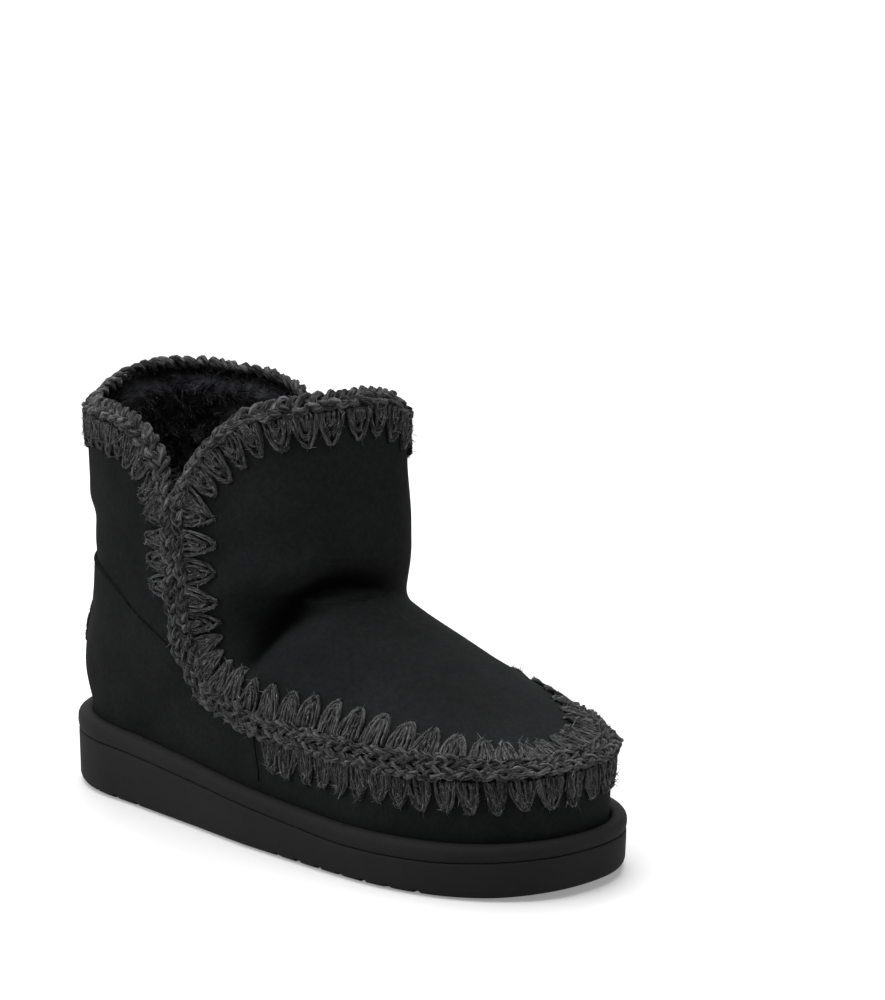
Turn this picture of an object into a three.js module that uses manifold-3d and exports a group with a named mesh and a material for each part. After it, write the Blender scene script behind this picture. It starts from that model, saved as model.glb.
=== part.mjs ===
// Sheepskin ankle boot for the right foot, built as separate pieces.
// Millimetres, +Z up. The toe points along -Y and the wearer's left (the inner side) along +X.
// The origin is on the floor, under the middle of the sole.
import * as THREE from "three";
import { mergeVertices } from "three/addons/utils/BufferGeometryUtils.js";
import Module from "manifold-3d";

const wasm = await Module();
wasm.setup();

// Driving dimensions.
const SOLE_LENGTH = 274;
const WALL = 3;
const GAP = 0.3;
const TOE = -SOLE_LENGTH / 2;
const HEEL = SOLE_LENGTH / 2;

// The two sides of the boot along X, and the two ends of the way around it.
const OUTER = -1;
const INNER = 1;
const FRONT = 0;
const BACK = 1;

// Sole outline: half widths on the outer and inner side, a row for each station from toe to heel.
const OUTLINE_ROWS = [
  { y: -137, outer: 51, inner: 52 },
  { y: -95, outer: 54.5, inner: 55 },
  { y: -50, outer: 57.3, inner: 55 },
  { y: -5, outer: 56.8, inner: 50.5 },
  { y: 40, outer: 53.2, inner: 48 },
  { y: 95, outer: 49.8, inner: 47.5 },
  { y: 137, outer: 50, inner: 47.5 },
];
const TOE_END = { reach: 74, power: 2.3 };
const HEEL_END = { reach: 50, power: 2.15 };

// Sole heights: the tread line, the groove under the rim, and the top of the rim, a row for each station.
const SOLE_ROWS = [
  { y: -137, tread: 4.5, groove: 17.2, rim: 23.5 },
  { y: -115, tread: 1.2, groove: 15.2, rim: 21.8 },
  { y: -95, tread: 0, groove: 14.0, rim: 21.0 },
  { y: -60, tread: 0, groove: 13.6, rim: 20.8 },
  { y: -25, tread: 0, groove: 15.4, rim: 22.2 },
  { y: 10, tread: 0, groove: 17.8, rim: 24.4 },
  { y: 45, tread: 0, groove: 20.0, rim: 27.2 },
  { y: 80, tread: 0, groove: 22.0, rim: 29.6 },
  { y: 118, tread: 0, groove: 22.8, rim: 30.4 },
  { y: 137, tread: 1.2, groove: 22.8, rim: 30.4 },
];
const RIM_WIDTH = 6;
const RIM_DEPTH = 4;

// Side of the outsole: each ring's inset, and its lift above the tread or the groove.
const OUTSOLE_RINGS = [
  { from: "tread", lift: 0, inset: 4.6 },
  { from: "tread", lift: 1.0, inset: 2.2 },
  { from: "tread", lift: 3.4, inset: 1.0 },
  { from: "groove", lift: -1.2, inset: 0.6 },
  { from: "groove", lift: -GAP / 2, inset: 1.8 },
];
// Side of the midsole rim and the seat inside it, from the groove up, over the lip and down.
const RIM_RINGS = [
  { from: "groove", lift: GAP / 2, inset: 1.8 },
  { from: "groove", lift: 1.1, inset: 0.4 },
  { from: "groove", lift: 3.2, inset: 0 },
  { from: "rim", lift: -1.6, inset: 0.5 },
  { from: "rim", lift: -0.4, inset: 1.7 },
  { from: "rim", lift: 0, inset: RIM_WIDTH - 1.8 },
  { from: "rim", lift: -1, inset: RIM_WIDTH - GAP },
  { from: "rim", lift: -RIM_DEPTH, inset: RIM_WIDTH - GAP },
];

// Tread: chevron grooves across the forefoot and across the heel, with a smooth waist between them.
const TREAD = { width: 3.4, depth: 2.2, sweep: 7, reach: 70 };
const TREAD_GROOVES = [
  { first: -98, pitch: 12, count: 7 },
  { first: 66, pitch: 13.5, count: 4 },
];

// Insole: lies in the seat of the midsole, inside the upper.
const INSOLE = { thickness: 5, clearance: 1, underEdge: 1, upperEdge: 1.5 };

// Foot of the upper: the wall leans out from the rim to the seam, and the apron rises from there.
const SEAM_HEIGHT = 48;
const SEAM_INSET = 5;
const APRON_ROWS = [
  { y: -132, top: 48 },
  { y: -126, top: 51 },
  { y: -105, top: 57.6 },
  { y: -75, top: 70.8 },
  { y: -45, top: 84.4 },
  { y: -20, top: 96 },
  { y: 30, top: 125 },
  { y: 137, top: 158 },
];
const APRON_CROWN = { rise: 1.9, spread: 1.75 };
const HEEL_FADE = 0.3;

// Heel and shaft of the upper: a row for each level, with its front, back and half width.
const SHAFT_ROWS = [
  { z: 20, front: -6, back: 118, half: 30 },
  { z: 31, front: -7, back: 130.2, half: 43 },
  { z: 37, front: -7.3, back: 133.4, half: 45 },
  { z: 48, front: -8, back: 135.4, half: 46.4 },
  { z: 60, front: -9.5, back: 133.4, half: 47.4 },
  { z: 76, front: -13, back: 129.4, half: 47.6 },
  { z: 94, front: -18.4, back: 127.6, half: 48 },
  { z: 103, front: -20, back: 127.6, half: 48.2 },
  { z: 112, front: -20.5, back: 128.4, half: 48.4 },
  { z: 122, front: -20.3, back: 131, half: 48.8 },
  { z: 145, front: -18.5, back: 132.6, half: 48.8 },
  { z: 190, front: -17, back: 134, half: 50 },
];
const SHAFT_POWER = 2.35;
const SHAFT_SHIFT = 1;
const BLEND = { width: 6, rise: 14 };

// Collar: a lobe in front and one behind, with a notch at each side. Around runs from front 0 to back 1.
const NOTCH = { around: 0.46, height: 135 };
const FRONT_LOBE = [
  { around: 0, outer: 177.2, inner: 177.2 },
  { around: 0.05, outer: 177.3, inner: 174.6 },
  { around: 0.1, outer: 177, inner: 170.6 },
  { around: 0.16, outer: 175.8, inner: 166 },
  { around: 0.28, outer: 171, inner: 158 },
  { around: 0.365, outer: 159, inner: 150 },
  { around: 0.42, outer: 146, inner: 142.5 },
  { around: NOTCH.around, outer: NOTCH.height, inner: NOTCH.height },
];
const BACK_LOBE = [
  { around: NOTCH.around, outer: NOTCH.height, inner: NOTCH.height },
  { around: 0.535, outer: 154, inner: 154 },
  { around: 0.59, outer: 160.3, inner: 161 },
  { around: 0.66, outer: 162.3, inner: 164.5 },
  { around: 0.8, outer: 162.2, inner: 166.6 },
  { around: 0.9, outer: 163, inner: 167.2 },
  { around: 0.95, outer: 164.2, inner: 166.8 },
  { around: 1, outer: 165.7, inner: 165.7 },
];

// Seam of the front panel, from the toe along the side and up to the notch.
const SEAM_LEVEL = 50;
const SEAM_ROWS = [
  { y: TOE, height: SEAM_LEVEL },
  { y: -110, height: SEAM_LEVEL },
  { y: -50, height: SEAM_LEVEL },
  { y: -8, height: 50.4 },
  { y: 10.5, height: 52.8 },
  { y: 30, height: 58.6 },
  { y: 42, height: 75 },
  { y: 44.6, height: 92 },
  { y: 45, height: 112 },
  { y: 45.8, height: NOTCH.height },
];
const SIDE_GIRTH = 270;

// Crocheted braids: one edges the front panel, the other the back panel and the side band.
const BRAID = { radius: 3.4, sides: 7, proud: 0.9, lift: 0.8, turn: 18, steps: 86 };
const SEAM_STEPS = 40;
const COLLAR_STEPS = 24;

// Blank patch on the back of the heel.
const PATCH = { bottom: 55, top: 74, around: 0.875, thickness: 1.6, columns: 8, rows: 3 };

// Grid of the upper: columns before and behind the notch, and the shares of a column's height
// from the feather edge to the seam, from there to the ankle fold, and from the fold to the collar.
const COLUMNS = { before: 15, behind: 13, crowd: 1.2 };
const WALL_SHARES = [0, 0.18, 0.5, 1];
const APRON_SHARES = [0.06, 0.2, 0.4, 0.6, 0.78, 0.92, 1];
const SHAFT_SHARES = [0.04, 0.09, 0.16, 0.26, 0.4, 0.58, 0.78, 1];

// Ankle fold: its height and its depth on each side, and how far the tuck reaches above and below it.
const FOLD_HEIGHTS = [
  { around: 0, outer: 100, inner: 100 },
  { around: 0.06, outer: 101.8, inner: 97.5 },
  { around: 0.1, outer: 101.6, inner: 96 },
  { around: 0.14, outer: 99.8, inner: 94.8 },
  { around: 0.2, outer: 95.8, inner: 92.6 },
  { around: 0.27, outer: 90.8, inner: 88.8 },
  { around: 0.345, outer: 84.6, inner: 83 },
  { around: 0.4, outer: 78, inner: 77.5 },
  { around: 0.444, outer: 71.6, inner: 72 },
  { around: 0.52, outer: 66, inner: 66 },
  { around: 0.62, outer: 62, inner: 62 },
  { around: 1, outer: 84, inner: 84 },
];
const FOLD_DEPTHS = [
  { around: 0, outer: 2, inner: 2 },
  { around: 0.06, outer: 5, inner: 0.8 },
  { around: 0.12, outer: 7, inner: 0.5 },
  { around: 0.34, outer: 7.2, inner: 0.5 },
  { around: 0.42, outer: 4.6, inner: 0.4 },
  { around: 0.46, outer: 1.2, inner: 0.2 },
  { around: 0.49, outer: 0, inner: 0 },
  { around: 1, outer: 0, inner: 0 },
];
const FOLD_REACH = { above: 10, below: 5 };

// Steps for the skin's outward direction, halvings in a search, and the distance within which two
// points are one.
const PROBE = { around: 0.004, rise: 0.5 };
const HALVINGS = 40;
const MERGE = 1e-3;

// Finishes.
const SUEDE = { color: 0x1b1c1d, roughness: 0.85, metalness: 0 };
const FOAM = { color: 0x232325, roughness: 0.7, metalness: 0 };
const FLEECE = { color: 0x121213, roughness: 1, metalness: 0 };
const WOOL = { color: 0x343537, roughness: 1, metalness: 0 };

const mix = (a, b, share) => a + (b - a) * share;
const clamp = (x, low, high) => Math.min(high, Math.max(low, x));

// Share of a length at a place around it: the ends are crowded, as on a circle.
const shareAt = (around) => (1 - Math.cos(Math.PI * around)) / 2;
const aroundOf = (share) => Math.acos(1 - 2 * clamp(share, 0, 1)) / Math.PI;

// A smooth curve through one column of a table. It never overshoots its rows.
function through(rows, key, column) {
  const x = rows.map((row) => row[key]);
  const y = rows.map((row) => row[column]);
  const slope = x.slice(1).map((next, i) => (y[i + 1] - y[i]) / (next - x[i]));
  const tangent = y.map((_, i) => {
    if (i === 0 || i === y.length - 1) return slope[Math.min(i, slope.length - 1)];
    const [before, after] = [slope[i - 1], slope[i]];
    return before * after <= 0 ? 0 : (2 * before * after) / (before + after);
  });
  return (at) => {
    const p = clamp(at, x[0], x[x.length - 1]);
    const above = x.findIndex((edge) => edge > p);
    const i = above < 0 ? x.length - 2 : above - 1;
    const run = x[i + 1] - x[i];
    const s = (p - x[i]) / run;
    const t = 1 - s;
    const level = y[i] * t * t * (1 + 2 * s) + y[i + 1] * s * s * (3 - 2 * s);
    return level + run * s * t * (tangent[i] * t - tangent[i + 1] * s);
  };
}

// A table's curves for the outer and the inner side.
function bothSides(rows, key) {
  return { [OUTER]: through(rows, key, "outer"), [INNER]: through(rows, key, "inner") };
}

// Rounds an end off: 0 at the tip, 1 from its reach inwards.
function roundEnd(distance, { reach, power }) {
  if (distance <= 0) return 0;
  const left = clamp(1 - distance / reach, 0, 1);
  return (1 - left ** power) ** (1 / power);
}

const outline = bothSides(OUTLINE_ROWS, "y");
const soleHeight = {
  tread: through(SOLE_ROWS, "y", "tread"),
  groove: through(SOLE_ROWS, "y", "groove"),
  rim: through(SOLE_ROWS, "y", "rim"),
};
const apronTop = through(APRON_ROWS, "y", "top");
const shaftFront = through(SHAFT_ROWS, "z", "front");
const shaftBack = through(SHAFT_ROWS, "z", "back");
const shaftHalf = through(SHAFT_ROWS, "z", "half");
const frontLobe = bothSides(FRONT_LOBE, "around");
const backLobe = bothSides(BACK_LOBE, "around");
const foldAt = bothSides(FOLD_HEIGHTS, "around");
const foldDepth = bothSides(FOLD_DEPTHS, "around");

// Station where the apron's ridge reaches a height, found by halving.
function apronFront(z) {
  let [low, high] = [APRON_ROWS[0].y, APRON_ROWS[APRON_ROWS.length - 1].y];
  for (let i = 0; i < HALVINGS; i++) {
    const middle = (low + high) / 2;
    [low, high] = apronTop(middle) < z ? [middle, high] : [low, middle];
  }
  return high;
}

// Half width of the sole's outline at y, drawn in by inset all round, and at the heel by fade as well.
function soleHalf(y, side, inset, fade = 0) {
  const toe = roundEnd(y - TOE - inset, TOE_END);
  const heel = roundEnd(HEEL - inset - fade - y, HEEL_END);
  return (outline[side](y) - inset) * toe * heel;
}

// How far the wall of the foot stands inside the sole's outline at a station and height.
function wallInset(y, z) {
  const rim = soleHeight.rim(y);
  return mix(RIM_WIDTH, SEAM_INSET, clamp((z - rim) / (SEAM_HEIGHT - rim), 0, 1));
}

const OUTSIDE = -2 * BLEND.width;

// The foot: a wall up to the seam and a crowned apron above it.
function footHalf(y, z, side) {
  if (z <= SEAM_HEIGHT) return soleHalf(y, side, wallInset(y, z));
  const share = (z - SEAM_HEIGHT) / (apronTop(y) - SEAM_HEIGHT);
  if (!(share < 1)) return OUTSIDE;
  const crown = (1 - share ** APRON_CROWN.rise) ** (1 / APRON_CROWN.spread);
  return soleHalf(y, side, SEAM_INSET, HEEL_FADE * (z - SEAM_HEIGHT)) * crown;
}

// The heel and shaft: a rounded level at every height, shifted towards the outer side.
function legHalf(y, z, side) {
  const [front, back] = [shaftFront(z), shaftBack(z)];
  const out = Math.abs(2 * y - front - back) / (back - front);
  if (out >= 1) return OUTSIDE;
  return (shaftHalf(z) - side * SHAFT_SHIFT) * (1 - out ** SHAFT_POWER) ** (1 / SHAFT_POWER);
}

// Foot and shaft grown together: soft at the sides, and a fold where they meet at the front.
function upperHalf(y, z, side) {
  const [foot, leg] = [footHalf(y, z, side), legHalf(y, z, side)];
  const width = BLEND.width * clamp((z - SEAM_HEIGHT) / BLEND.rise, 0, 1);
  const near = Math.max(width - Math.abs(foot - leg), 0);
  const swell = near > 0 && Math.min(foot, leg) > 0 ? (near * near) / (4 * width) : 0;
  return Math.max(foot, leg, 0) + swell;
}

function frontAt(z) {
  const foot = z <= SEAM_HEIGHT ? TOE + wallInset(TOE, z) : apronFront(z);
  return Math.min(foot, shaftFront(z));
}

function backAt(z) {
  const foot = z <= SEAM_HEIGHT ? HEEL - wallInset(HEEL, z) : TOE;
  return Math.max(foot, shaftBack(z));
}

// The station of a place around the upper at a height, and the other way about.
const stationAt = (around, z) => mix(frontAt(z), backAt(z), shareAt(around));
const placeOf = (y, z) => aroundOf((y - frontAt(z)) / (backAt(z) - frontAt(z)));

// A point on the plain form: around runs from the front (0) to the back (1) on one side.
function form(around, z, side) {
  const y = stationAt(around, z);
  return new THREE.Vector3(side * upperHalf(y, z, side), y, z);
}

// Outward direction of a surface. A point just past the front or back lies on the other side.
function facing(surface, around, z, side) {
  const step = (shift) => {
    const at = around + shift;
    const mirrored = at < 0 || at > 1;
    return surface(at < 0 ? -at : at > 1 ? 2 - at : at, z, mirrored ? -side : side);
  };
  const along = step(PROBE.around).sub(step(-PROBE.around));
  const rise = surface(around, z + PROBE.rise, side).sub(surface(around, z - PROBE.rise, side));
  return along.cross(rise).multiplyScalar(side).normalize();
}

// A point on the outer skin: the form, tucked in along the ankle fold.
function skin(around, z, side) {
  const over = z - foldAt[side](around);
  const reach = over > 0 ? FOLD_REACH.above : FOLD_REACH.below;
  const tuck = foldDepth[side](around) * Math.exp(-((over / reach) ** 2));
  const level = facing(form, around, z, side).setZ(0).normalize();
  return form(around, z, side).addScaledVector(level, -tuck);
}

const outward = (around, z, side) => facing(skin, around, z, side);

// Height of the collar's edge: a notch at the side, rounded lobes before and behind it.
function collarAt(around, side) {
  const lobe = around < NOTCH.around ? frontLobe : backLobe;
  return lobe[side](around);
}

// A closed solid through rings of equal count. The first and last ring are closed by strips across.
function stack(rings) {
  const count = rings[0].length;
  const points = rings.flat();
  const faces = [];
  const quad = (a, b, c, d) => faces.push(a, b, c, a, c, d);
  for (let r = 0; r + 1 < rings.length; r++) {
    for (let i = 0; i < count; i++) {
      const [here, next] = [r * count + i, r * count + ((i + 1) % count)];
      quad(here, next, next + count, here + count);
    }
  }
  const last = (rings.length - 1) * count;
  for (let i = 0; i < count / 2; i++) {
    const [a, b] = [i, i + 1];
    const [c, d] = [(count - i - 1) % count, (count - i) % count];
    quad(d, c, b, a);
    quad(last + a, last + b, last + c, last + d);
  }
  return solidOf(points, faces);
}

function solidOf(points, faces) {
  const positions = new Float32Array(points.flatMap((p) => [p.x, p.y, p.z]));
  const geometry = new THREE.BufferGeometry();
  geometry.setAttribute("position", new THREE.BufferAttribute(positions, 3));
  geometry.setIndex(faces);
  return manifoldOf(geometry);
}

function manifoldOf(geometry) {
  const bare = new THREE.BufferGeometry();
  bare.setAttribute("position", geometry.getAttribute("position"));
  bare.setIndex(geometry.index);
  const merged = mergeVertices(bare, MERGE);
  const vertProperties = new Float32Array(merged.getAttribute("position").array);
  const triVerts = new Uint32Array(merged.index.array);
  return new wasm.Manifold(new wasm.Mesh({ numProp: 3, vertProperties, triVerts }));
}

// The largest body of a solid, as a named mesh with a material of its own.
function piece(name, solid, finish) {
  const bodies = solid.decompose().sort((a, b) => b.volume() - a.volume());
  const { vertProperties, triVerts } = bodies[0].getMesh();
  const geometry = new THREE.BufferGeometry();
  geometry.setAttribute("position", new THREE.BufferAttribute(vertProperties, 3));
  geometry.setIndex(new THREE.BufferAttribute(triVerts, 1));
  geometry.computeVertexNormals();
  const mesh = new THREE.Mesh(geometry, new THREE.MeshStandardMaterial(finish));
  mesh.name = name;
  return mesh;
}

// Columns round the boot: down the inner side from the front, back up the outer side.
function columns() {
  const { before, behind, crowd } = COLUMNS;
  const front = Array.from({ length: before }, (_, i) => NOTCH.around * (1 - (1 - i / before) ** crowd));
  const back = Array.from({ length: behind }, (_, i) => mix(NOTCH.around, 1, (i / behind) ** crowd));
  const inner = [...front, ...back, 1].map((around) => ({ around, side: INNER }));
  const outer = inner.slice(1, -1).reverse().map(({ around }) => ({ around, side: OUTER }));
  return [...inner, ...outer];
}

// A ring round the sole at one row of a profile.
function soleRing({ from, lift, inset }) {
  return columns().map(({ around, side }) => {
    const y = mix(TOE + inset, HEEL - inset, shareAt(around));
    return new THREE.Vector3(side * soleHalf(y, side, inset), y, soleHeight[from](y) + lift);
  });
}

const soleLayer = (rows) => stack(rows.map(soleRing));

// One chevron groove across the tread, its point towards the toe.
function treadGroove(y) {
  const { width, depth, sweep, reach } = TREAD;
  const shape = new THREE.Shape();
  shape.moveTo(-reach, y + sweep);
  shape.lineTo(0, y);
  shape.lineTo(reach, y + sweep);
  shape.lineTo(reach, y + sweep + width);
  shape.lineTo(0, y + width);
  shape.lineTo(-reach, y + sweep + width);
  const cutter = new THREE.ExtrudeGeometry(shape, { depth: 2 * depth, bevelEnabled: false });
  return manifoldOf(mergeVertices(cutter.translate(0, 0, -depth)));
}

function outsole() {
  const grooves = TREAD_GROOVES.flatMap(({ first, pitch, count }) =>
    Array.from({ length: count }, (_, i) => treadGroove(first + i * pitch)),
  );
  return grooves.reduce((sole, groove) => sole.subtract(groove), soleLayer(OUTSOLE_RINGS));
}

function insole() {
  const { thickness, clearance, underEdge, upperEdge } = INSOLE;
  const inset = RIM_WIDTH + WALL + clearance;
  const base = -RIM_DEPTH + GAP;
  const edges = [
    { from: "rim", lift: base, inset: inset + underEdge },
    { from: "rim", lift: base + underEdge, inset },
    { from: "rim", lift: base + thickness - upperEdge, inset },
    { from: "rim", lift: base + thickness, inset: inset + upperEdge },
  ];
  return soleLayer(edges);
}

// Heights of one column, from the feather edge in the rim up to the collar.
function columnHeights(around, side) {
  const y = mix(TOE + RIM_WIDTH, HEEL - RIM_WIDTH, shareAt(around));
  const feather = soleHeight.rim(y) - RIM_DEPTH + GAP;
  const fold = foldAt[side](around);
  return [
    ...WALL_SHARES.map((share) => mix(feather, SEAM_HEIGHT, share)),
    ...APRON_SHARES.map((share) => mix(SEAM_HEIGHT, fold, share)),
    ...SHAFT_SHARES.map((share) => mix(fold, collarAt(around, side), share)),
  ];
}

// The upper's wall between two offsets of its skin, its edges drawn out by grow.
function shell(outside, inside, grow) {
  const grid = columns().map(({ around, side }) => {
    const heights = columnHeights(around, side);
    heights[0] -= grow;
    heights[heights.length - 1] += grow;
    return heights.map((z) => {
      const [point, normal] = [skin(around, z, side), outward(around, z, side)];
      return [outside, inside].map((offset) => point.clone().addScaledVector(normal, offset));
    });
  });
  const rows = grid[0].length;
  const ring = (row, face) => grid.map((column) => column[row][face]);
  const up = Array.from({ length: rows }, (_, row) => ring(row, 0));
  const down = Array.from({ length: rows }, (_, row) => ring(rows - 1 - row, 1));
  return tube([...up, ...down]);
}

// A closed solid through rings whose last joins the first.
function tube(rings) {
  const count = rings[0].length;
  const faces = [];
  rings.forEach((_, r) => {
    const above = (r + 1) % rings.length;
    for (let i = 0; i < count; i++) {
      const j = (i + 1) % count;
      faces.push(r * count + i, r * count + j, above * count + j);
      faces.push(r * count + i, above * count + j, above * count + i);
    }
  });
  return solidOf(rings.flat(), faces);
}

// Where a panel's edge runs on one side: up the seam from the toe, then along the collar to its end.
function edgeStations(end, side) {
  const seam = new THREE.SplineCurve(
    SEAM_ROWS.map(({ y, height }) => new THREE.Vector2(placeOf(y, SEAM_LEVEL) * SIDE_GIRTH, height)),
  );
  const stations = seam.getSpacedPoints(SEAM_STEPS).map(({ x, y: z }) => {
    return { around: placeOf(stationAt(x / SIDE_GIRTH, SEAM_LEVEL), z), z };
  });
  for (let i = 1; i <= COLLAR_STEPS; i++) {
    const around = mix(NOTCH.around, end, (i / COLLAR_STEPS) ** COLUMNS.crowd);
    stations.push({ around, z: collarAt(around, side), collar: true });
  }
  return stations;
}

// Centre line of a braid along one side. It lies on its own panel beside the seam and caps the collar.
function braidSide(end, side) {
  const stations = edgeStations(end, side);
  const edge = stations.map(({ around, z }) => skin(around, z, side));
  const hand = end === FRONT ? -side : side;
  let walked = 0;
  return stations.map(({ around, z, collar }, i) => {
    const ahead = edge[Math.min(i + 1, edge.length - 1)];
    const behind = edge[Math.max(i - 1, 0)];
    const normal = outward(around, z, side);
    const own = ahead.clone().sub(behind).cross(normal).multiplyScalar(hand).normalize();
    if (collar) walked += edge[i].distanceTo(edge[i - 1]);
    const turn = THREE.MathUtils.smoothstep(walked, 0, BRAID.turn);
    return edge[i]
      .clone()
      .addScaledVector(own, mix(BRAID.radius + GAP, -BRAID.lift, turn))
      .addScaledVector(normal, mix(BRAID.proud, -WALL / 2, turn));
  });
}

// A braid is a closed loop, hollowed where it sits on the upper.
function braid(end) {
  const outer = braidSide(end, OUTER);
  const inner = braidSide(end, INNER).slice(1, -1).reverse();
  const path = new THREE.CatmullRomCurve3([...outer, ...inner], true);
  const cord = new THREE.TubeGeometry(path, BRAID.steps, BRAID.radius, BRAID.sides, true);
  return manifoldOf(cord).subtract(shell(GAP, -WALL - GAP, GAP));
}

// A thin patch that follows the back of the heel.
function heelPatch() {
  const { bottom, top, around, thickness, columns: across, rows } = PATCH;
  const rings = [GAP, GAP + thickness].map((offset) => {
    const border = [];
    const at = (share, z) => {
      const turn = mix(2 - around, around, share);
      const [side, place] = turn > 1 ? [INNER, 2 - turn] : [OUTER, turn];
      const normal = outward(place, z, side);
      return skin(place, z, side).addScaledVector(normal, offset);
    };
    for (let r = 0; r <= rows; r++) {
      const z = mix(bottom, top, r / rows);
      border.push(Array.from({ length: across + 1 }, (_, c) => at(c / across, z)));
    }
    return border;
  });
  return plate(rings[0], rings[1]);
}

// A closed plate between two grids of equal size.
function plate(under, over) {
  const [rows, cols] = [under.length, under[0].length];
  const faces = [];
  const index = (face, r, c) => face * rows * cols + r * cols + c;
  const quad = (a, b, c, d) => faces.push(a, b, c, a, c, d);
  for (let r = 0; r + 1 < rows; r++) {
    for (let c = 0; c + 1 < cols; c++) {
      quad(index(1, r, c), index(1, r, c + 1), index(1, r + 1, c + 1), index(1, r + 1, c));
      quad(index(0, r + 1, c), index(0, r + 1, c + 1), index(0, r, c + 1), index(0, r, c));
    }
  }
  for (let c = 0; c + 1 < cols; c++) {
    quad(index(0, 0, c), index(0, 0, c + 1), index(1, 0, c + 1), index(1, 0, c));
    quad(index(1, rows - 1, c), index(1, rows - 1, c + 1), index(0, rows - 1, c + 1), index(0, rows - 1, c));
  }
  for (let r = 0; r + 1 < rows; r++) {
    quad(index(0, r + 1, 0), index(0, r, 0), index(1, r, 0), index(1, r + 1, 0));
    quad(index(0, r, cols - 1), index(0, r + 1, cols - 1), index(1, r + 1, cols - 1), index(1, r, cols - 1));
  }
  return solidOf([...under.flat(), ...over.flat()], faces);
}

const boot = new THREE.Group();
boot.add(
  piece("outsole", outsole(), FOAM),
  piece("midsole", soleLayer(RIM_RINGS), FOAM),
  piece("insole", insole(), FLEECE),
  piece("upper", shell(0, -WALL, 0), SUEDE),
  piece("front_braid", braid(FRONT), WOOL),
  piece("back_braid", braid(BACK), WOOL),
  piece("heel_patch", heelPatch(), SUEDE),
);

export default boot;
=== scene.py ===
"""Sheepskin ankle boot: leather, yarn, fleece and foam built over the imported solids.

Sizes are in millimetres until a mesh is made. The toe points along -Y, +Z is up, and the outer
side of this right boot is at -X. A place on the upper is given by its turn and its height: turn 0
is the front, 0 to 1 runs along the outer side, 1 is the back, and 1 to 2 is the inner side.
"""

import logging
import math
from collections.abc import Callable, Sequence
from dataclasses import dataclass, field
from enum import Enum
from functools import cached_property

import bpy
import numpy as np
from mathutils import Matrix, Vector
from numpy.typing import ArrayLike, NDArray


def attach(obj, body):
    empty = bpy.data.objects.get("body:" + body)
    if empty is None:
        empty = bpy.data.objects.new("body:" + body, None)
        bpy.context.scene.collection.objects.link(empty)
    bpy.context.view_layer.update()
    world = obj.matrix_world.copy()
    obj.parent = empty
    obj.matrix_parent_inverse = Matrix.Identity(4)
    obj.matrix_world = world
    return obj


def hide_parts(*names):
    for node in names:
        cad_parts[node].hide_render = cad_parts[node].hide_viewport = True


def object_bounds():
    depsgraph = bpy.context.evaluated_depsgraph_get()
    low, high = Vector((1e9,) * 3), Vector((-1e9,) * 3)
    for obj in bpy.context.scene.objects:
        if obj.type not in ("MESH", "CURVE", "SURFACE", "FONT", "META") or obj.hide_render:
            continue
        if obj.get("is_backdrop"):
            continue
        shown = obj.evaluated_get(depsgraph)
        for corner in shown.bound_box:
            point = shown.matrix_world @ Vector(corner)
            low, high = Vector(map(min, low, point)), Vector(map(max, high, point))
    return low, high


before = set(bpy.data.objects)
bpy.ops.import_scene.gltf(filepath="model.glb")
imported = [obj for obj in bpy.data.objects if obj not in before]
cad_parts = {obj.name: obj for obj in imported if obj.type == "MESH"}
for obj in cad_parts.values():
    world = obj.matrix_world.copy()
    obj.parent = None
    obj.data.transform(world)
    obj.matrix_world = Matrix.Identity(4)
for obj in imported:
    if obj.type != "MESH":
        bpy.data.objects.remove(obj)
CAD_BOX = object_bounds()

Array = NDArray[np.float64]
Faces = NDArray[np.int64]
Rows = tuple[tuple[float, ...], ...]
Colour = tuple[float, float, float]
Place = tuple[float, float, float]
Surface = Callable[[Array, Array], Array]

METRES = 0.001
INNER = 1.0
OUTER = -1.0
TURN_STEP = 0.004
RISE_STEP = 0.5
STRAND_SIDES = 5
PLIES = 3
WHITE = (1.0, 1.0, 1.0, 1.0)
log = logging.getLogger("boot")


def mix(a: ArrayLike, b: ArrayLike, share: ArrayLike) -> Array:
    """Blend from a to b by share."""
    return np.asarray(a) + (np.asarray(b) - np.asarray(a)) * np.asarray(share)


def smooth_step(x: ArrayLike, low: float, high: float) -> Array:
    """Rise softly from 0 at low to 1 at high."""
    share = np.clip((np.asarray(x) - low) / (high - low), 0.0, 1.0)
    return share * share * (3.0 - 2.0 * share)


def unit(vectors: Array) -> Array:
    """Scale each vector to length 1."""
    return vectors / np.maximum(np.linalg.norm(vectors, axis=-1, keepdims=True), 1e-12)


def walked_along(line: Array) -> Array:
    """Return the distance walked from a line's start to each of its points."""
    steps = np.linalg.norm(np.diff(line, axis=0), axis=1)
    return np.concatenate([[0.0], np.cumsum(steps)])


def round_angles(count: int) -> Array:
    """Return evenly spaced angles round a circle."""
    return 2.0 * math.pi * np.arange(count) / count


def add_object(name: str, data: bpy.types.ID) -> bpy.types.Object:
    """Add an object to the scene.

    Args:
        name: Its name.
        data: Its mesh, lens or lamp.

    Returns:
        The object.
    """
    thing = bpy.data.objects.new(name, data)
    bpy.context.scene.collection.objects.link(thing)
    return thing


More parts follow.
